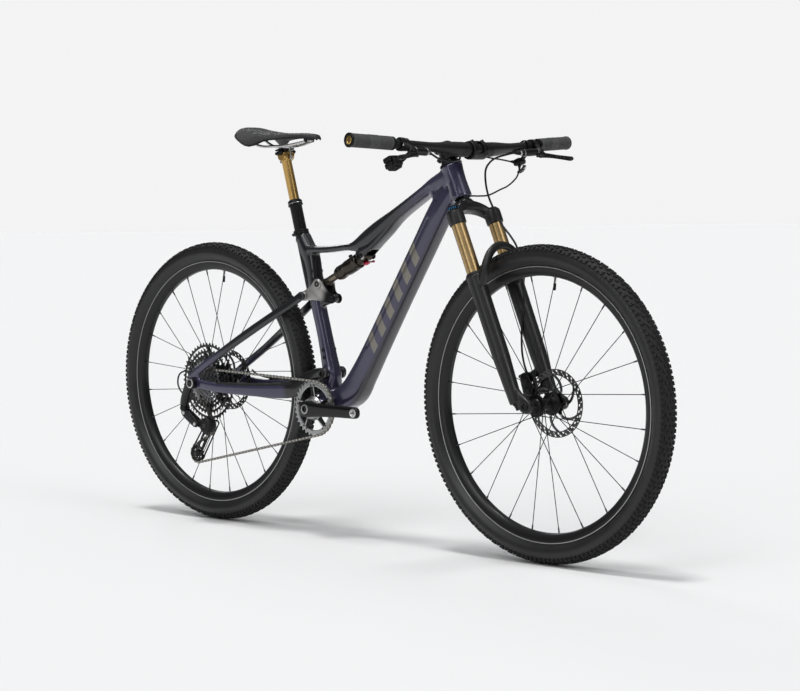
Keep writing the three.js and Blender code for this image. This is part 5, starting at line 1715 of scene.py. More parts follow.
def hub(prefix, place, body, ends, flange_right, flange_left, freehub):
    s = Shape()
    fr, fl = flange_right, flange_left
    s.lathe([
        (7.7, -ends + 8), (13, -ends + 8), (13.4, fr - 10), (15.5, fr - 5), (17, fr - 3), (26, fr - 2.2),
        (26.8, fr - 1.4), (26.8, fr + 1.4), (26, fr + 2.2), (19, fr + 3.4), (15.6, fr + 7),
        (14.4, fr + 12),
        (14.4, fl - 12), (15.6, fl - 7), (19, fl - 3.4), (26, fl - 2.2), (26.8, fl - 1.4),
        (26.8, fl + 1.4),
        (26, fl + 2.2), (18, fl + 3.6), (15.4, fl + 6), (15.4, ends - 10), (14, ends - 8),
        (7.7, ends - 8),
    ], 56)
    build(f"{prefix}_hub_shell", s, body, BLACK, place, (f"{prefix}_hub",))
    c = Shape()
    for side in (-1, 1):
        c.lathe([(7.5, side * (ends - 9)), (11.5, side * (ends - 9)), (11.5, side * (ends - 3)),
                 (10.5, side * (ends - 2)), (10.5, side * ends), (7.5, side * ends)], 36)
        c.lathe([(11, side * (ends - 6.6)), (12, side * (ends - 6.2)), (12, side * (ends - 5)),
                 (11, side * (ends - 4.6))], 36)
    if freehub:
        c.lathe([(7.6, -66), (16.2, -66), (16.2, -28), (7.6, -28)], 40)
    build(f"{prefix}_hub_caps", c, body, DARK_STEEL, place)


def rotor(prefix, place, body, y, node):
    """A braking ring with slanted slots on six swept arms, over an alloy carrier."""
    arms = 6
    s = Shape()
    # Three thin hoops with slanted bars between them leave two rows of open slots.
    for inner, outer in ((65.5, 68.0), (72.2, 73.4), (77.8, 80.0)):
        s.ring_plate(circle(outer, HOOP_SEGMENTS),
                     circle(inner, HOOP_SEGMENTS), y - 0.9, y + 0.9)
    slots = 30
    for row, (r0, r1) in enumerate(((67.0, 72.8), (72.8, 78.6))):
        for k in range(slots):
            a = (k + 0.4 * row) / slots * math.tau
            wide = 0.135 if (k + row) % 3 else 0.17
            s.prism([polar(r0, a), polar(r1, a + 0.05), polar(r1, a + 0.05 + wide), polar(r0, a + wide)],
                    y - 0.88, y + 0.88)
    for k in range(arms):
        a = k / arms * math.tau
        left = arc_edge(30, 66, 8, lambda t: a + 0.62 * t ** 1.3 - 0.12 + 0.05 * t)
        right = arc_edge(30, 66, 8, lambda t: a + 0.62 * t ** 1.3 + 0.10 - 0.01 * t)
        s.prism(left + right[::-1], y - 0.85, y + 0.85)
    build(f"{prefix}_rotor_plate", s, body, ROTOR_STEEL, place, (node,), bevel=0.15)
    c = Shape()
    c.ring_plate([polar(24 + 8.5 * max(0, math.cos(k / 96 * math.tau * arms)) ** 3, k / 96 * math.tau)
                  for k in range(96)], circle(17.4, 96), y - 2.0, y + 2.2)
    c.lathe([(15.2, y + 1), (22, y + 1), (22.6, y + 1.8), (22.6, y + 4.4), (21.6, y + 5.4),
             (15.2, y + 5.4)], 48)
    c.studs(24, 22.4, 0.9, y + 1.6, y + 4.8)
    c.studs(arms, 31, 3.2, y - 2.2, y + 2.4, 18, 1, edge=0.5)
    build(f"{prefix}_rotor_carrier", c, body, [BLACK, STEEL], place, bevel=0.2)


SPOKE_STEEL = brushed("spoke_steel", (0.03, 0.03, 0.031), 0.35, (0.05, 0.05, 0.05))
ROTOR_STEEL = brushed("rotor_steel", (0.10, 0.10, 0.10), 0.33)
for prefix, place, ends, right, left, disc in (
        ("front", FRONT_WHEEL, 55, -30, 24, 41), ("rear", REAR_WHEEL, 73.8, -22, 30, 46)):
    body = f"{prefix}_wheel"
    tyre(prefix, place, body)
    rim(prefix, place, body, right, left)
    hub(prefix, place, body, ends, right, left, prefix == "rear")
    rotor(prefix, place, body, disc, f"{prefix}_rotor")


# ------------------------------------------------------------------ cassette, cranks and chainring
def toothed(teeth, root, tip, phase=0.0, width=0.34):
    """Outline of a sprocket: rounded valleys between pointed teeth."""
    points = []
    for k in range(teeth):
        a = (k + phase) / teeth * math.tau
        pitch = math.tau / teeth
        for part, r in ((-0.5, root), (-0.36, root + 0.15 * (tip - root)),
                        (-width / 2, tip * 0.45 + root * 0.55),
                        (-0.09, tip), (0.09, tip), (width / 2, tip * 0.45 + root * 0.55),
                        (0.36, root + 0.15 * (tip - root))):
            points.append(polar(r, a + part * pitch))
    return points


def cassette():
    teeth = [50, 42, 36, 32, 28, 24, 21, 18, 16, 14, 12, 10]
    s = Shape()
    c = Shape()
    first, spacing = -30.4, -3.157
    for i, n in enumerate(teeth):
        y = first + spacing * i
        pitch_r = CHAIN_PITCH / 2 / math.sin(math.pi / n)
        root, tip = pitch_r - 3.6, pitch_r + 2.5
        number = 0 if i < 4 else 1
        inner_r = max(pitch_r - 8.6, 17.4) if i < 9 else min(16.6, root - 1.5)
        outline = toothed(n, root, tip, i * 0.37)
        ring = [polar(inner_r, math.atan2(z, x)) for x, z in outline]
        s.ring_plate(outline, ring, y - 0.9, y + 0.9, number)
        if i < 9:
            # Swept arms carry the big cogs to the hub.
            arms = 6 if i < 5 else 8
            lean = 0.55
            low = 17.2
            for k in range(arms):
                a = k / arms * math.tau + i * 0.12
                left = arc_edge(low, inner_r + 1, 6, lambda t: a + lean * t - 0.13 + 0.05 * t)
                right = arc_edge(low, inner_r + 1, 6, lambda t: a + lean * t + 0.13 - 0.04 * t)
                if inner_r > low + 3:
                    c.prism(left + right[::-1], y - 0.8, y + 0.8)
    build("cassette_cogs", s, "cassette", [COG_BLACK, COG_STEEL], REAR_WHEEL, ("cassette",),
          bevel=0.18)
    c.lathe([(16.5, -28.6), (20.5, -28.6), (20.5, -56), (16.5, -56)], 48)
    c.lathe([(10.6, -66.6), (17.2, -66.6), (18, -65.8), (18, -64.6), (10.6, -64.6)], 48, 1)
    c.studs(18, 11.6, 1.0, -66.9, -64.6, 6, 1)
    build("cassette_spider", c, "cassette", [BLACK, COG_STEEL], REAR_WHEEL, bevel=0.15)


COG_BLACK = brushed("cog_black", (0.055, 0.055, 0.057), 0.36)
cassette()


def chainring():
    s = Shape()
    pitch_r = CHAIN_PITCH / 2 / math.sin(math.pi / CHAINRING_TEETH)
    outline = toothed(CHAINRING_TEETH, pitch_r - 3.8, pitch_r + 2.6)
    ring = [polar(55.4, math.atan2(z, x)) for x, z in outline]
    s.ring_plate(outline, ring, -53.8, -51.2)
    s.ring_plate(circle(61.0, 120),
                 circle(55.6, 120), -55.0, -50.4)
    arms = 5
    for k in range(arms):
        a = (k - 0.2) / arms * math.tau + 0.62
        left = arc_edge(24, 57.5, 8, lambda t: a - 0.38 + 0.62 * t - 0.34 * t * t)
        right = arc_edge(24, 57.5, 8, lambda t: a + 0.38 - 0.62 * t + 0.44 * t * t)
        s.prism(left + right[::-1], -54.6, -51.4, 1, inset=0.5)
        lip = arc_edge(24, 57.5, 8, lambda t: a - 0.30 + 0.62 * t - 0.34 * t * t)
        s.prism(left + lip[::-1], -54.9, -54.2)
    s.lathe([(15.7, -53.8), (30, -53.8), (30.6, -54.4), (30.6, -55.6), (29, -57.6), (26.6, -61),
             (25.6, -66),
             (25.2, -69.4), (15.7, -69.4)], 56)
    build("chainring_plate", s, "crank", [SILVER, BLACK], CRANK, ("chainring",), bevel=0.3)
    d = Shape()
    for k in range(arms):
        a = (k - 0.2) / arms * math.tau + 0.62
        for turn in (-0.10, 0.10):
            x, z = polar(58.4, a + turn)
            d.disc(2.3, -56.2, -49.6, 18, at=shift(x, 0, z), edge=0.4)
    d.studs(16, 27.2, 1.5, -60.4, -56, 10, edge=0.4)
    build("chainring_bolts", d, "crank", BLACK, CRANK)


def crank_arm(direction, middle, half, shape):
    length = CRANK_LENGTH
    shape.loft([
        (direction * -21, middle, 0, 10, half - 1.6), (direction * -15, middle, 0, 17.5, half - 0.4),
        (0, middle, 0, 21, half), (direction * 22, middle, 0, 19, half),
        (direction * 60, middle, 0, 16.6, half - 0.6),
        (direction * 110, middle, 0, 15.2, half - 1.4),
        (direction * (length - 20), middle, 0, 14.8, half - 1.6),
        (direction * (length + 4), middle, 0, 14.4, half - 1.6),
        (direction * (length + 12), middle, 0, 11, half - 2.2),
        (direction * (length + 15), middle, 0, 5, half - 3.4),
    ], 40, 3.4)


def cranks():
    for direction, inner, outer, name in ((1, -70.2, -87, "right"), (-1, 66, 84, "left")):
        middle, half = (inner + outer) / 2, abs(outer - inner) / 2
        side = -1 if outer < 0 else 1
        s = Shape()
        crank_arm(direction, middle, half, s)
        if name == "left":
            s.disc(14.6, -66, 70, 40)
        cuts = Shape()
        cuts.disc(6.9, middle - 20, middle + 20, 28, at=shift(direction * CRANK_LENGTH))
        cuts.disc(12.4, outer - side * 1.6, outer + side * 6, 40)
        # The shallow groove along the arm's inner face.
        cuts.loft([(direction * 40, inner, 0, 5, 3), (direction * 60, inner, 0, 7, 4.2),
                   (direction * 130, inner, 0, 6, 4.2), (direction * 146, inner, 0, 3, 2.6)], 20, 3)
        fused(f"crank_skin_{name}", s, "crank", GLOSS, CRANK, (f"crank_arm_{name}",), voxel=1.4,
              rounds=4,
              cuts=[cuts])
        d = Shape()
        end = shift(direction * CRANK_LENGTH)
        face = outer - side * 1.6
        d.lathe([(6.9, face - side * 2), (10.8, face - side * 2), (10.8, face + side * 0.5),
                 (10.2, face + side * 0.9),
                 (7.6, face + side * 0.9), (6.9, face + side * 0.3)], 40, at=end)
        back = inner + side * 1.6
        d.lathe([(6.9, back), (9.4, back), (9.4, back - side * 0.7), (6.9, back - side * 0.7)], 40,
                at=end)
        threads = 9
        for k in range(threads):
            y = face - side * (0.8 + 1.3 * k)
            d.lathe([(6.95, y - 0.4), (6.35, y), (6.95, y + 0.4)], 28, at=end)
        top = outer - side * 1.2
        d.lathe([(12.2, top - side), (12.2, top + side * 1.8), (11.4, top + side * 2.4),
                 (8.8, top + side * 2.4),
                 (8.4, top + side * 1.6), (8.4, top - side)], 44, 1)
        d.lathe([(0, top - side), (8.2, top - side), (8.2, top + side * 1.2), (7.4, top + side * 1.7),
                 (4.6, top + side * 1.7), (4.4, top - side * 0.6), (0, top - side * 0.6)], 36, 2)
        build(f"crank_fittings_{name}", d, "crank", [STEEL, SILVER, BLACK], CRANK)


chainring()
cranks()


# ------------------------------------------------------------------ chain
CHAIN_WHEELS = [
    (BB.x, BB.z, 68.8, 1), (TENSION.x, TENSION.z, 24.5, 1), (GUIDE.x, GUIDE.z, 24.5, -1),
    (REAR_AXLE.x, REAR_AXLE.z, 36.6, 1),
]


def chain_line():
    """The chain's pitch line as points close together."""
    count = len(CHAIN_WHEELS)
    runs = []
    for i in range(count):
        ax, az, ar, at = CHAIN_WHEELS[i]
        bx, bz, br, bt = CHAIN_WHEELS[(i + 1) % count]
        distance = math.hypot(bx - ax, bz - az)
        lean = math.atan2(bz - az, bx - ax) - math.asin((at * ar - bt * br) / distance)
        nx, nz = -math.sin(lean), math.cos(lean)
        runs.append(((ax + nx * ar * at, az + nz * ar * at), (bx + nx * br * bt, bz + nz * br * bt)))
    line = []
    for i, (x, z, r, turn) in enumerate(CHAIN_WHEELS):
        into, out = runs[(i - 1) % count][1], runs[i][0]
        a0 = math.atan2(into[1] - z, into[0] - x)
        a1 = math.atan2(out[1] - z, out[0] - x)
        if turn > 0 and a1 > a0:
            a1 -= math.tau
        if turn < 0 and a1 < a0:
            a1 += math.tau
        steps = max(3, int(abs(a1 - a0) / 0.03))
        line += [(x + r * math.cos(a0 + (a1 - a0) * k / steps),
                  z + r * math.sin(a0 + (a1 - a0) * k / steps))
                 for k in range(steps + 1)]
    return line


def chain():
    line = [Vector(p) for p in chain_line()]
    line.append(line[0])
    lengths = [0.0]
    for a, b in zip(line, line[1:]):
        lengths.append(lengths[-1] + (b - a).length)
    total = lengths[-1]
    links = 2 * round(total / CHAIN_PITCH / 2)
    pins = []
    j = 0
    for k in range(links):
        target = total * k / links
        while lengths[j + 1] < target:
            j += 1
        t = (target - lengths[j]) / max(lengths[j + 1] - lengths[j], 1e-6)
        pins.append(line[j].lerp(line[j + 1], t))
    s = Shape()
    for k in range(links):
        a, b = pins[k], pins[(k + 1) % links]
        middle = (a + b) / 2
        ahead = (b - a).normalized()
        turn = Matrix(((ahead.x, 0, -ahead.y), (0, 1, 0), (ahead.y, 0, ahead.x))).to_4x4()
        place = shift(middle.x, CHAIN_PLANE, middle.y) @ turn
        half = CHAIN_PITCH / 2
        wide = k % 2 == 0
        radius, waist = (3.5, 2.55) if wide else (3.3, 2.2)
        outline = []
        for side in (1, -1):
            for q in range(7):
                angle = math.radians(-78 + 26 * q)
                outline.append((side * (half - 0.2 + radius * math.cos(angle)),
                                side * radius * math.sin(angle)))
            outline.append((0, side * waist))
        near, far = (2.35, 3.1) if wide else (1.45, 2.2)
        s.prism(outline, near, far, at=place, inset=0.15)
        s.prism(outline, -far, -near, at=place, inset=0.15)
        s.disc(1.75, -3.25, 3.25, 10, 1, at=place @ shift(half), edge=0.2)
        s.disc(2.9, -1.4, 1.4, 12, at=place @ shift(half), edge=0.2)
    piece = build("chain_links", s, None, [CHAIN_STEEL, STEEL], replaces=("chain",), angle=30)
    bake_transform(piece)


chain()


# ------------------------------------------------------------------ rear triangle
CHAINSTAY = [
    (-583, -80, 371, 15, 5), (-545, -80, 367, 13, 5.4), (-480, -78, 362, 13, 7.5),
    (-369, -69, 361, 16, 8.5),
    (-270, -50, 362, 20, 8), (-225, -43.2, 370, 21, 7), (-185, -37, 394, 19, 7),
    (-150, -31.5, 409, 16, 7),
    (-124, -31, 411, 14, 7),
]
STAY_ROOT = [(-588, -80, 380, 12, 5), (-566, -79.5, 397, 11, 5.5), (-545, -79, 409.5, 10, 6),
             (-533, -78.6, 416, 8, 5)]
SEATSTAY = [
    (-552, -79.1, 405.5, 9, 5.4), (-530, -78.4, 418.5, 10, 6), (-460, -74, 458, 10, 6.5),
    (-370, -62, 510, 11, 7),
    (-280, -47, 561, 11, 6.5), (-235, -37, 587, 11, 5), (-205, -32.5, 605, 11, 4.7),
    (-199, -32.4, 609, 7, 4.4),
]


def chainstays():
    s = Shape()
    for side in (-1, 1):
        s.loft(on_side(CHAINSTAY, side), power=3.2)
        s.loft(on_side(STAY_ROOT, side), power=3.0)
        s.disc(17, side * 75.8, side * 84.6, 40, at=Matrix.Translation(REAR_AXLE), edge=1.4)
        web = [(-592, 360), (-556, 356), (-546, 374), (-556, 402), (-574, 404), (-590, 396)]
        s.prism(web, side * 76.2, side * 83.8, inset=1.2)
        s.disc(16, side * 24.2, side * 37.8, 40, at=Matrix.Translation(MAIN_PIVOT), edge=1.6)
    s.loft([(-192, 0, 380, 6, 38), (-186, 0, 392, 7, 38), (-182, 0, 405, 6, 38)], power=3.4)
    cuts = Shape()
    cuts.disc(6.7, -100, -70, 28, at=Matrix.Translation(REAR_AXLE))
    cuts.disc(9.6, 36.4, 44, 32, at=Matrix.Translation(MAIN_PIVOT))
    cuts.disc(9.6, -44, -36.4, 32, at=Matrix.Translation(MAIN_PIVOT))
    fused("chainstays_skin", s, "chainstays", CHAINSTAY_PAINT, replaces=("chainstays",),
          voxel=1.9,
          rounds=6, cuts=[cuts])
    d = Shape()
    here = Matrix.Translation(MAIN_PIVOT)
    d.disc(8, -36.8, 36.8, 32, at=here)
    for side in (-1, 1):
        d.lathe([(0, side * 35), (9.4, side * 35), (9.4, side * 38.4), (8.4, side * 39.4),
                 (5, side * 39.4),
                 (4.6, side * 37), (0, side * 37)], 40, at=here)
    d.disc(6.8, -84, 84, 32, at=Matrix.Translation(REAR_AXLE))
    for side in (-1, 1):
        d.lathe([(0, side * 83), (9.6, side * 83), (9.6, side * 85.4), (8.4, side * 86.4),
                 (4.8, side * 86.4),
                 (4.4, side * 84.6), (0, side * 84.6)], 36, at=Matrix.Translation(REAR_AXLE))
    build("rear_axle_and_pivot", d, "chainstays", BLACK)
    # The chain guard: a moulded strip with low blocks along the top and inner side of the right stay.
    g = Shape()
    dense = catmull([p for p in CHAINSTAY if -500 < p[0] < -190], 14)
    rings = []
    for i, (x, y, z, depth, width) in enumerate(dense):
        rise = 1.9 if (i % 6) < 4 else 1.2
        end = min(i, len(dense) - 1 - i)
        rise *= min(1, 0.3 + end / 5)
        ring = []
        for q in range(19):
            a = math.radians(-20 + 152 * q / 18)
            c, v = math.cos(a), math.sin(a)
            ring.append((x, y + (width + rise) * math.copysign(abs(c) ** 0.62, c),
                         z + (depth + rise) * math.copysign(abs(v) ** 0.62, v)))
        ring += [(x, y + (width - 1) * 0.6, z - 2), (x, y - (width - 1) * 0.6, z - 2)][::-1]
        rings.append(ring)
    g.skin(rings)
    build("chain_guard", g, "chainstays", GUARD, angle=30)
    # The cable clip and the rear hose's port on the left stay.
    c = Shape()
    c.tube([(-300, 57, 379), (-330, 62, 379), (-380, 69, 379), (-440, 74, 378), (-490, 72, 386),
            (-506, 66, 398)], 2.4,
           12, smooth=8)
    for x, y, z in ((-330, 62, 379), (-440, 74, 378)):
        c.box((x - 4, y - 4, z - 6), (x + 4, y + 4, z + 3.2), 1, edge=1.2)
    build("rear_hose_run", c, "chainstays", [HOSE, PLASTIC])


def seatstays():
    for side, name in ((-1, "right"), (1, "left")):
        s = Shape()
        s.loft(on_side(SEATSTAY, side), 36, 3.0, smooth=8)
        s.disc(11.6, side * 28.4, side * 37.0, 44, at=Matrix.Translation(STAY_PIVOT), edge=1.4)
        piece = fused(f"seatstay_skin_{name}", s, None, SEATSTAY_PAINT,
                      replaces=(f"seatstay_{name}",),
                      voxel=1.5, rounds=5)
        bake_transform(piece)
        d = Shape()
        here = Matrix.Translation(STAY_PIVOT)
        d.lathe([(0, side * 36), (8.2, side * 36), (8.2, side * 38), (7.4, side * 38.8),
                 (4.2, side * 38.8),
                 (3.9, side * 36.8), (0, side * 36.8)], 36, at=here)
        d.disc(5, side * 18, side * 36, 24, at=here)
        build(f"stay_bolt_{name}", d, "seatstays", BLACK)


chainstays()
seatstays()
# A known fault: ROW is applied once more when the pieces are built, so these come
# out a thousandth of their size. Matrix.Identity(4) is the place that they should have.
caliper("rear_brake", ROW, (-520, 46, 424), (-478, 46, 404), 46, "chainstays", "rear_caliper", 1)


# ------------------------------------------------------------------ rocker link and shock
SHOCK_MM = IN_ROW @ SHOCK


def arm_spread(x):
    """The link's arms draw together ahead of the seat tube, to half their spread at the frame's pivot."""
    return 1 - 0.5 * ease((x + 148) / 26)


def rocker():
    s = Shape()
    outline = [
        (-217, 602), (-216, 609), (-211, 615), (-204, 617.5), (-190, 624), (-176, 633), (-167, 643),
        (-159, 648.6),
        (-150, 648.8), (-142, 643), (-134, 629), (-122, 613.6), (-109, 609.6), (-104, 603), (-104, 595),
        (-110, 588.4),
        (-119, 587.4), (-136, 591), (-160, 595), (-186, 594), (-206, 593), (-213, 596),
    ]
    outline = catmull(outline, 3)
    for side in (-1, 1):
        s.prism(outline, side * 20.6, side * 26.6, inset=1.2)
        for (x, z), r, top in (((STAY_PIVOT.x, STAY_PIVOT.z), 11, 27.6),
                               ((ROCKER_PIVOT.x, ROCKER_PIVOT.z), 11.4, 27.8),
                               ((SHOCK_REAR.x, SHOCK_REAR.z), 10.6, 27.6)):
            s.disc(r, side * 19.6, side * top, 44, at=shift(x, 0, z), edge=1.0)
    s.disc(6, -24, 24, 24, at=Matrix.Translation(ROCKER_PIVOT))
    for side in (-1, 1):
        s.disc(8, side * 13, side * 22, 24, at=Matrix.Translation(SHOCK_REAR))
    for point in s.points:
        point.y *= arm_spread(point.x)
    build("rocker_arms", s, "rocker", LINK_ALLOY, replaces=("rocker_link",), bevel=0.35)
    d = Shape()
    for side in (-1, 1):
        for place in (ROCKER_PIVOT, SHOCK_REAR):
            r = 7.4
            spot = Matrix.Translation(place) @ shift(0, side * 27.6 * (arm_spread(place.x) - 1), 0)
            d.lathe([(0, side * 26.6), (r, side * 26.6), (r, side * 28.8), (r - 0.9, side * 29.6),
                     (r * 0.52, side * 29.6), (r * 0.48, side * 27.4), (0, side * 27.4)], 36,
                    at=spot)
    build("rocker_bolts", d, "rocker", BLACK)


def shock():
    s = Shape()
    x0, x1 = 56, 140
    length = SHOCK_LENGTH
    # The air can: seal head, stepped sleeve and band.
    s.lathe([(9.9, x0 + 60), (9.9, x0), (13, x0), (15.6, x0 + 1.4), (16.6, x0 + 4), (16.6, x0 + 8),
             (18.2, x0 + 9.5),
             (18.2, x0 + 15), (17.6, x0 + 16), (17.6, x0 + 36), (18.6, x0 + 38), (19.1, x0 + 40),
             (19.1, x1 - 16),
             (18.3, x1 - 14.6), (18.3, x1 - 11), (19.1, x1 - 9.6), (19.1, x1 - 2), (17.6, x1), (0, x1)],
            56,
            at=SHOCK_MM, axis="X")
    s.lathe([(17.4, x0 + 18), (18.0, x0 + 18.4), (18.0, x0 + 20), (17.4, x0 + 20.4)], 56, 1, at=SHOCK_MM,
            axis="X")
    s.lathe([(18.0, x1 - 14), (18.5, x1 - 13.8), (18.5, x1 - 11.8), (18.0, x1 - 11.6)], 56, 1,
            at=SHOCK_MM, axis="X")
    # The head narrows into the front eye.
    head = []
    for x, high, wide in ((x1 - 6, 15, 14), (x1 + 2, 14, 12.4), (length - 8, 13, 12.2), (length, 12, 12),
                          (length + 7, 9, 11)):
        head.append([(x, c * wide, q * high) for c, q in ellipse_ring(32, 3.4)])
    s.skin(head, at=SHOCK_MM)
    s.disc(11.6, -13, 13, 40, at=SHOCK_MM @ shift(length), edge=1.0)
    # Air valve and its cap above the can.
    s.tube([(x1 - 24, 0, 15), (x1 - 24, 0, 23.4)], 4.4, 20, at=SHOCK_MM)
    s.disc(5, 20.6, 25.6, 24, 2, at=SHOCK_MM @ shift(x1 - 24), axis="Z", edge=0.8)
    build("shock_can", s, "shock_body", [SHOCK_CAN, DARK_STEEL, GUARD],
          replaces=("shock_body",), bevel=0.25)
    h = Shape()
    for side in (-1, 1):
        h.disc(8.6, side * 12.4, side * 15.2, 36, at=SHOCK_MM @ shift(length), edge=0.6)
        h.bolt((length, side * 15.2, 0), 6.6, 2.6, at=SHOCK_MM, side=side)
    build("shock_front_bolt", h, "shock_body", STEEL)
    b = Shape()
    b.lathe([(0, 6), (9.4, 6), (9.4, x0 + 12), (0, x0 + 12)], 44, at=SHOCK_MM, axis="X")
    b.lathe([(0, 4), (10.2, 5), (10.8, 6), (10.8, 9), (10, 10.4), (0, 10.4)], 40, 2, at=SHOCK_MM,
            axis="X")
    b.disc(9.8, -12.4, 12.4, 40, 2, at=SHOCK_MM, edge=0.9)
    build("shock_rod", b, "shock_shaft", [SHOCK_COAT, RED, BLACK], replaces=("shock_shaft",),
          bevel=0.2)
    v = Shape()
    dial = SHOCK_MM @ shift(length - 5)
    v.lathe([(0, -14.4), (7.6, -14.4), (8.2, -15.2), (8.2, -18.8), (7.2, -20), (3, -20), (2.6, -19),
             (0, -19)], 44,
            at=dial, axis="Z")
    v.studs(16, 8.1, 0.6, -19.2, -15.2, at=dial, axis="Z", edge=0.15)
    v.loft([(2, 0, -17, 2, 5), (10, -1, -18.6, 2, 3.4), (20, -2.4, -22, 2, 2.8), (26, -3, -24, 3, 3.4),
            (29, -3.2, -25, 2, 2.4)], 20, 2.4, at=dial)
    v.disc(2.2, -7.2, 1.4, 18, 1, at=dial @ shift(25, 0, -24), edge=0.4)
    build("shock_dial", v, "shock_lever", [RED, BLACK], replaces=("shock_lever",), bevel=0.2)


rocker()
shock()


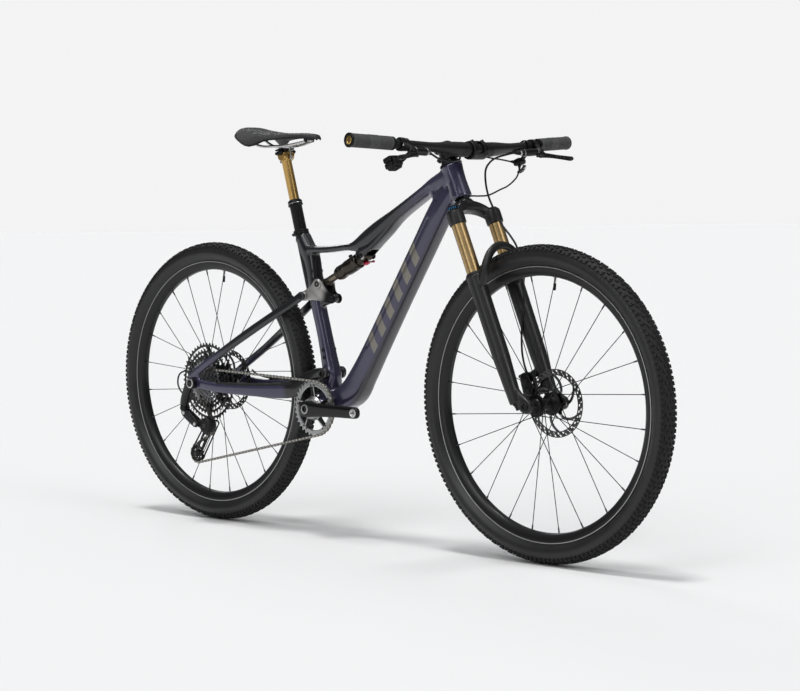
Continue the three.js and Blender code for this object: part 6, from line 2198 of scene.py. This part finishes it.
# ------------------------------------------------------------------ derailleur
def derailleur():
    s = Shape()
    here = Matrix.Translation(REAR_AXLE)
    s.lathe([(7, -86.4), (14.6, -86.4), (15.2, -87.4), (15.2, -96), (14, -97.4), (7, -97.4)], 44, at=here)
    s.loft([(-570, -93.4, 376, 11, 5.4), (-580, -92.6, 362, 13, 6), (-592, -91.2, 342, 13, 6.4),
            (-602, -88.6, 320, 13, 8.2), (-605, -86.4, 306, 11, 9), (-604, -86, 300, 7, 8)], 32, 3.0)
    s.disc(9.6, -97, -76, 36, at=shift(-604, 0, 303), edge=1.4)
    build("derailleur_upper", s, "chainstays", GLOSS, replaces=("derailleur_body",),
          bevel=0.5)
    d = Shape()
    d.bolt((REAR_AXLE.x, -97, REAR_AXLE.z), 9.4, 2.0)
    d.lathe([(9.6, -97.2), (12.2, -97.4), (12.6, -98.2), (11.6, -98.8), (9.6, -98.6)], 40, 1, at=here)
    d.disc(5.2, -98.6, -96, 28, at=shift(-604, 0, 303), edge=0.6)
    # The barrel adjuster.
    d.tube([(-604, -84, 331), (-614, -82, 338)], 3.6, 18)
    build("derailleur_bolts", d, "chainstays", [BLACK, STEEL])
    c = Shape()
    c.tube([(-612, -82, 337), (-630, -80, 348), (-640, -79, 366), (-634, -79, 388), (-612, -79.5, 399),
            (-584, -80, 400)], 2.2, 14, smooth=8)
    build("gear_cable_loop", c, "chainstays", HOSE)

    # The parallelogram: an outer and an inner link plate with a spring between them.
    p = Shape()
    for y, half, grow in ((-93, 2.6, 0), (-75.6, 2.4, -1)):
        p.loft([(-606, y, 296, 6, half), (-601, y, 291, 10 + grow, half),
                (-586, y + 0.6, 281, 11 + grow, half),
                (-568, y + 1, 270, 11 + grow, half), (-556, y + 1, 263, 10 + grow, half),
                (-549, y + 1, 259, 5.5, half)], 28, 3.2)
    for x, z in ((-600, 290), (-556, 263)):
        p.disc(4.6, -97.4, -72, 28, 1, at=shift(x, 0, z), edge=0.6)
    coil = []
    for k in range(61):
        a = k / 60 * math.tau * 6
        coil.append((-594 + 22 * k / 60, -84 + 5.2 * math.cos(a), 287 - 14 * k / 60 + 5.2 * math.sin(a)))
    p.tube(coil, 0.8, 8, 1)
    build("derailleur_arms", p, "derailleur_link", [LINK_DARK, STEEL],
          replaces=("derailleur_link",),
          bevel=0.4)

    k = Shape()
    pivot = shift(CAGE_PIVOT.x, 0, CAGE_PIVOT.z)
    k.lathe([(0, -63), (17, -63), (19.4, -65), (20.4, -68), (20.4, -83), (19, -86.6), (15, -88.6),
             (9, -89), (8.4, -87.8),
             (0, -87.8)], 52, at=pivot)
    k.loft([(-556, -81, 264, 9, 8.6), (-546, -80, 262, 10.5, 8), (-534, -79, 260, 13, 8),
            (-524, -78, 259, 12, 7)], 28,
           3.0)
    k.disc(4.2, -93, -70, 24, 1, at=shift(-556, 0, 263), edge=0.6)
    for q in range(10):
        x, z = polar(20.2, math.radians(-150 + 24 * q))
        k.disc(1.3, -82, -68, 8, at=pivot @ shift(x, 0, z), edge=0.3)
    # The clutch switch.
    k.loft([(-16, -72, 8, 2.4, 3.6), (-22, -72, 14, 2.6, 3.6), (-26, -72, 17, 2.2, 3)], 20, 2.6, 1,
           at=pivot)
    k.bolt((CAGE_PIVOT.x, -87.6, CAGE_PIVOT.z), 5.4, 1.6, 1)
    build("derailleur_clutch", k, "derailleur_knuckle", [PLASTIC, DARK_STEEL],
          replaces=("derailleur_knuckle",), bevel=0.3)

    g = Shape()
    for y0, y1 in ((-61.6, -59.4), (-45.6, -43.4)):
        g.ring_plate(cage_outline(0), cage_outline(-4.6), y0, y1)
        for place in (GUIDE, TENSION):
            g.disc(8.6, y0, y1, 36, at=shift(place.x, 0, place.z), edge=0.4)
        spine = TENSION - GUIDE
        unit = Vector((spine.x, 0, spine.z)).normalized()
        cross = Vector((unit.z, 0, -unit.x))
        corners = []
        for share, half in ((0.02, 3.4), (0.98, 2.6), (0.98, -2.6), (0.02, -3.4)):
            corner = GUIDE + spine * share + cross * half
            corners.append((corner.x, corner.z))
        g.prism(corners, y0, y1)
        for q in range(6):
            a = q / 6 * math.tau
            axle = Vector((TENSION.x, TENSION.z))
            near, far = axle + Vector(polar(7, a)), axle + Vector(polar(15.4, a + 0.2))
            half = Vector((-math.sin(a), math.cos(a))) * 1.3
            g.prism([near - half, far - half, far + half, near + half], y0, y1)
    for place in (GUIDE, TENSION):
        spot = shift(place.x, 0, place.z)
        g.disc(3.4, -61, -44, 20, 1, at=spot)
        g.bolt((place.x, -61.6, place.z), 5.2, 2.2, 1)
        g.disc(4.6, -44.4, -41.8, 18, 1, at=spot, edge=0.4)
    g.disc(9, -63.4, -59, 36, 1, at=shift(CAGE_PIVOT.x, 0, CAGE_PIVOT.z), edge=0.5)
    g.disc(2.6, -60, -45, 14, 1, at=shift(-556, 0, 234))
    build("derailleur_cage_plates", g, "derailleur_cage", [LINK_DARK, DARK_STEEL],
          replaces=("derailleur_cage",), bevel=0.25)
    for place, name in ((GUIDE, "guide"), (TENSION, "tension")):
        w = Shape()
        outline = toothed(12, 20.2, 24.8, 0.5)
        w.ring_plate(outline, [polar(16.2, math.atan2(z, x)) for x, z in outline], -53.7, -51.3)
        for q in range(6):
            a = q / 6 * math.tau
            w.prism([polar(7.6, a - 0.16), polar(17, a - 0.10), polar(17, a + 0.10),
                     polar(7.6, a + 0.16)], -53.6,
                    -51.4)
        w.lathe([(4.2, -54.8), (8.6, -54.8), (9, -54.2), (9, -50.8), (8.6, -50.2), (4.2, -50.2)], 32)
        w.lathe([(4.2, -55.6), (6.6, -55.6), (6.6, -49.4), (4.2, -49.4)], 32, 1)
        build(f"{name}_pulley_wheel", w, f"{name}_pulley", [PLASTIC, STEEL],
              local_frame(Vector((place.x, 0, place.z)), x=Vector((1, 0, 0))), (f"{name}_pulley",),
              bevel=0.2)


def cage_outline(grow):
    """The cage plate's outline round its three axles."""
    points = []
    for place, r, start, end in ((CAGE_PIVOT, 13, 20, 130), (GUIDE, 13, 130, 190),
                                 (TENSION, 20, 150, 345)):
        for q in range(13):
            a = math.radians(start + (end - start) * q / 12)
            points.append((place.x + (r + grow) * math.cos(a), place.z + (r + grow) * math.sin(a)))
    return points


LINK_DARK = black_alloy("polished_black", (0.02, 0.02, 0.022), 0.24, 0.25)
derailleur()
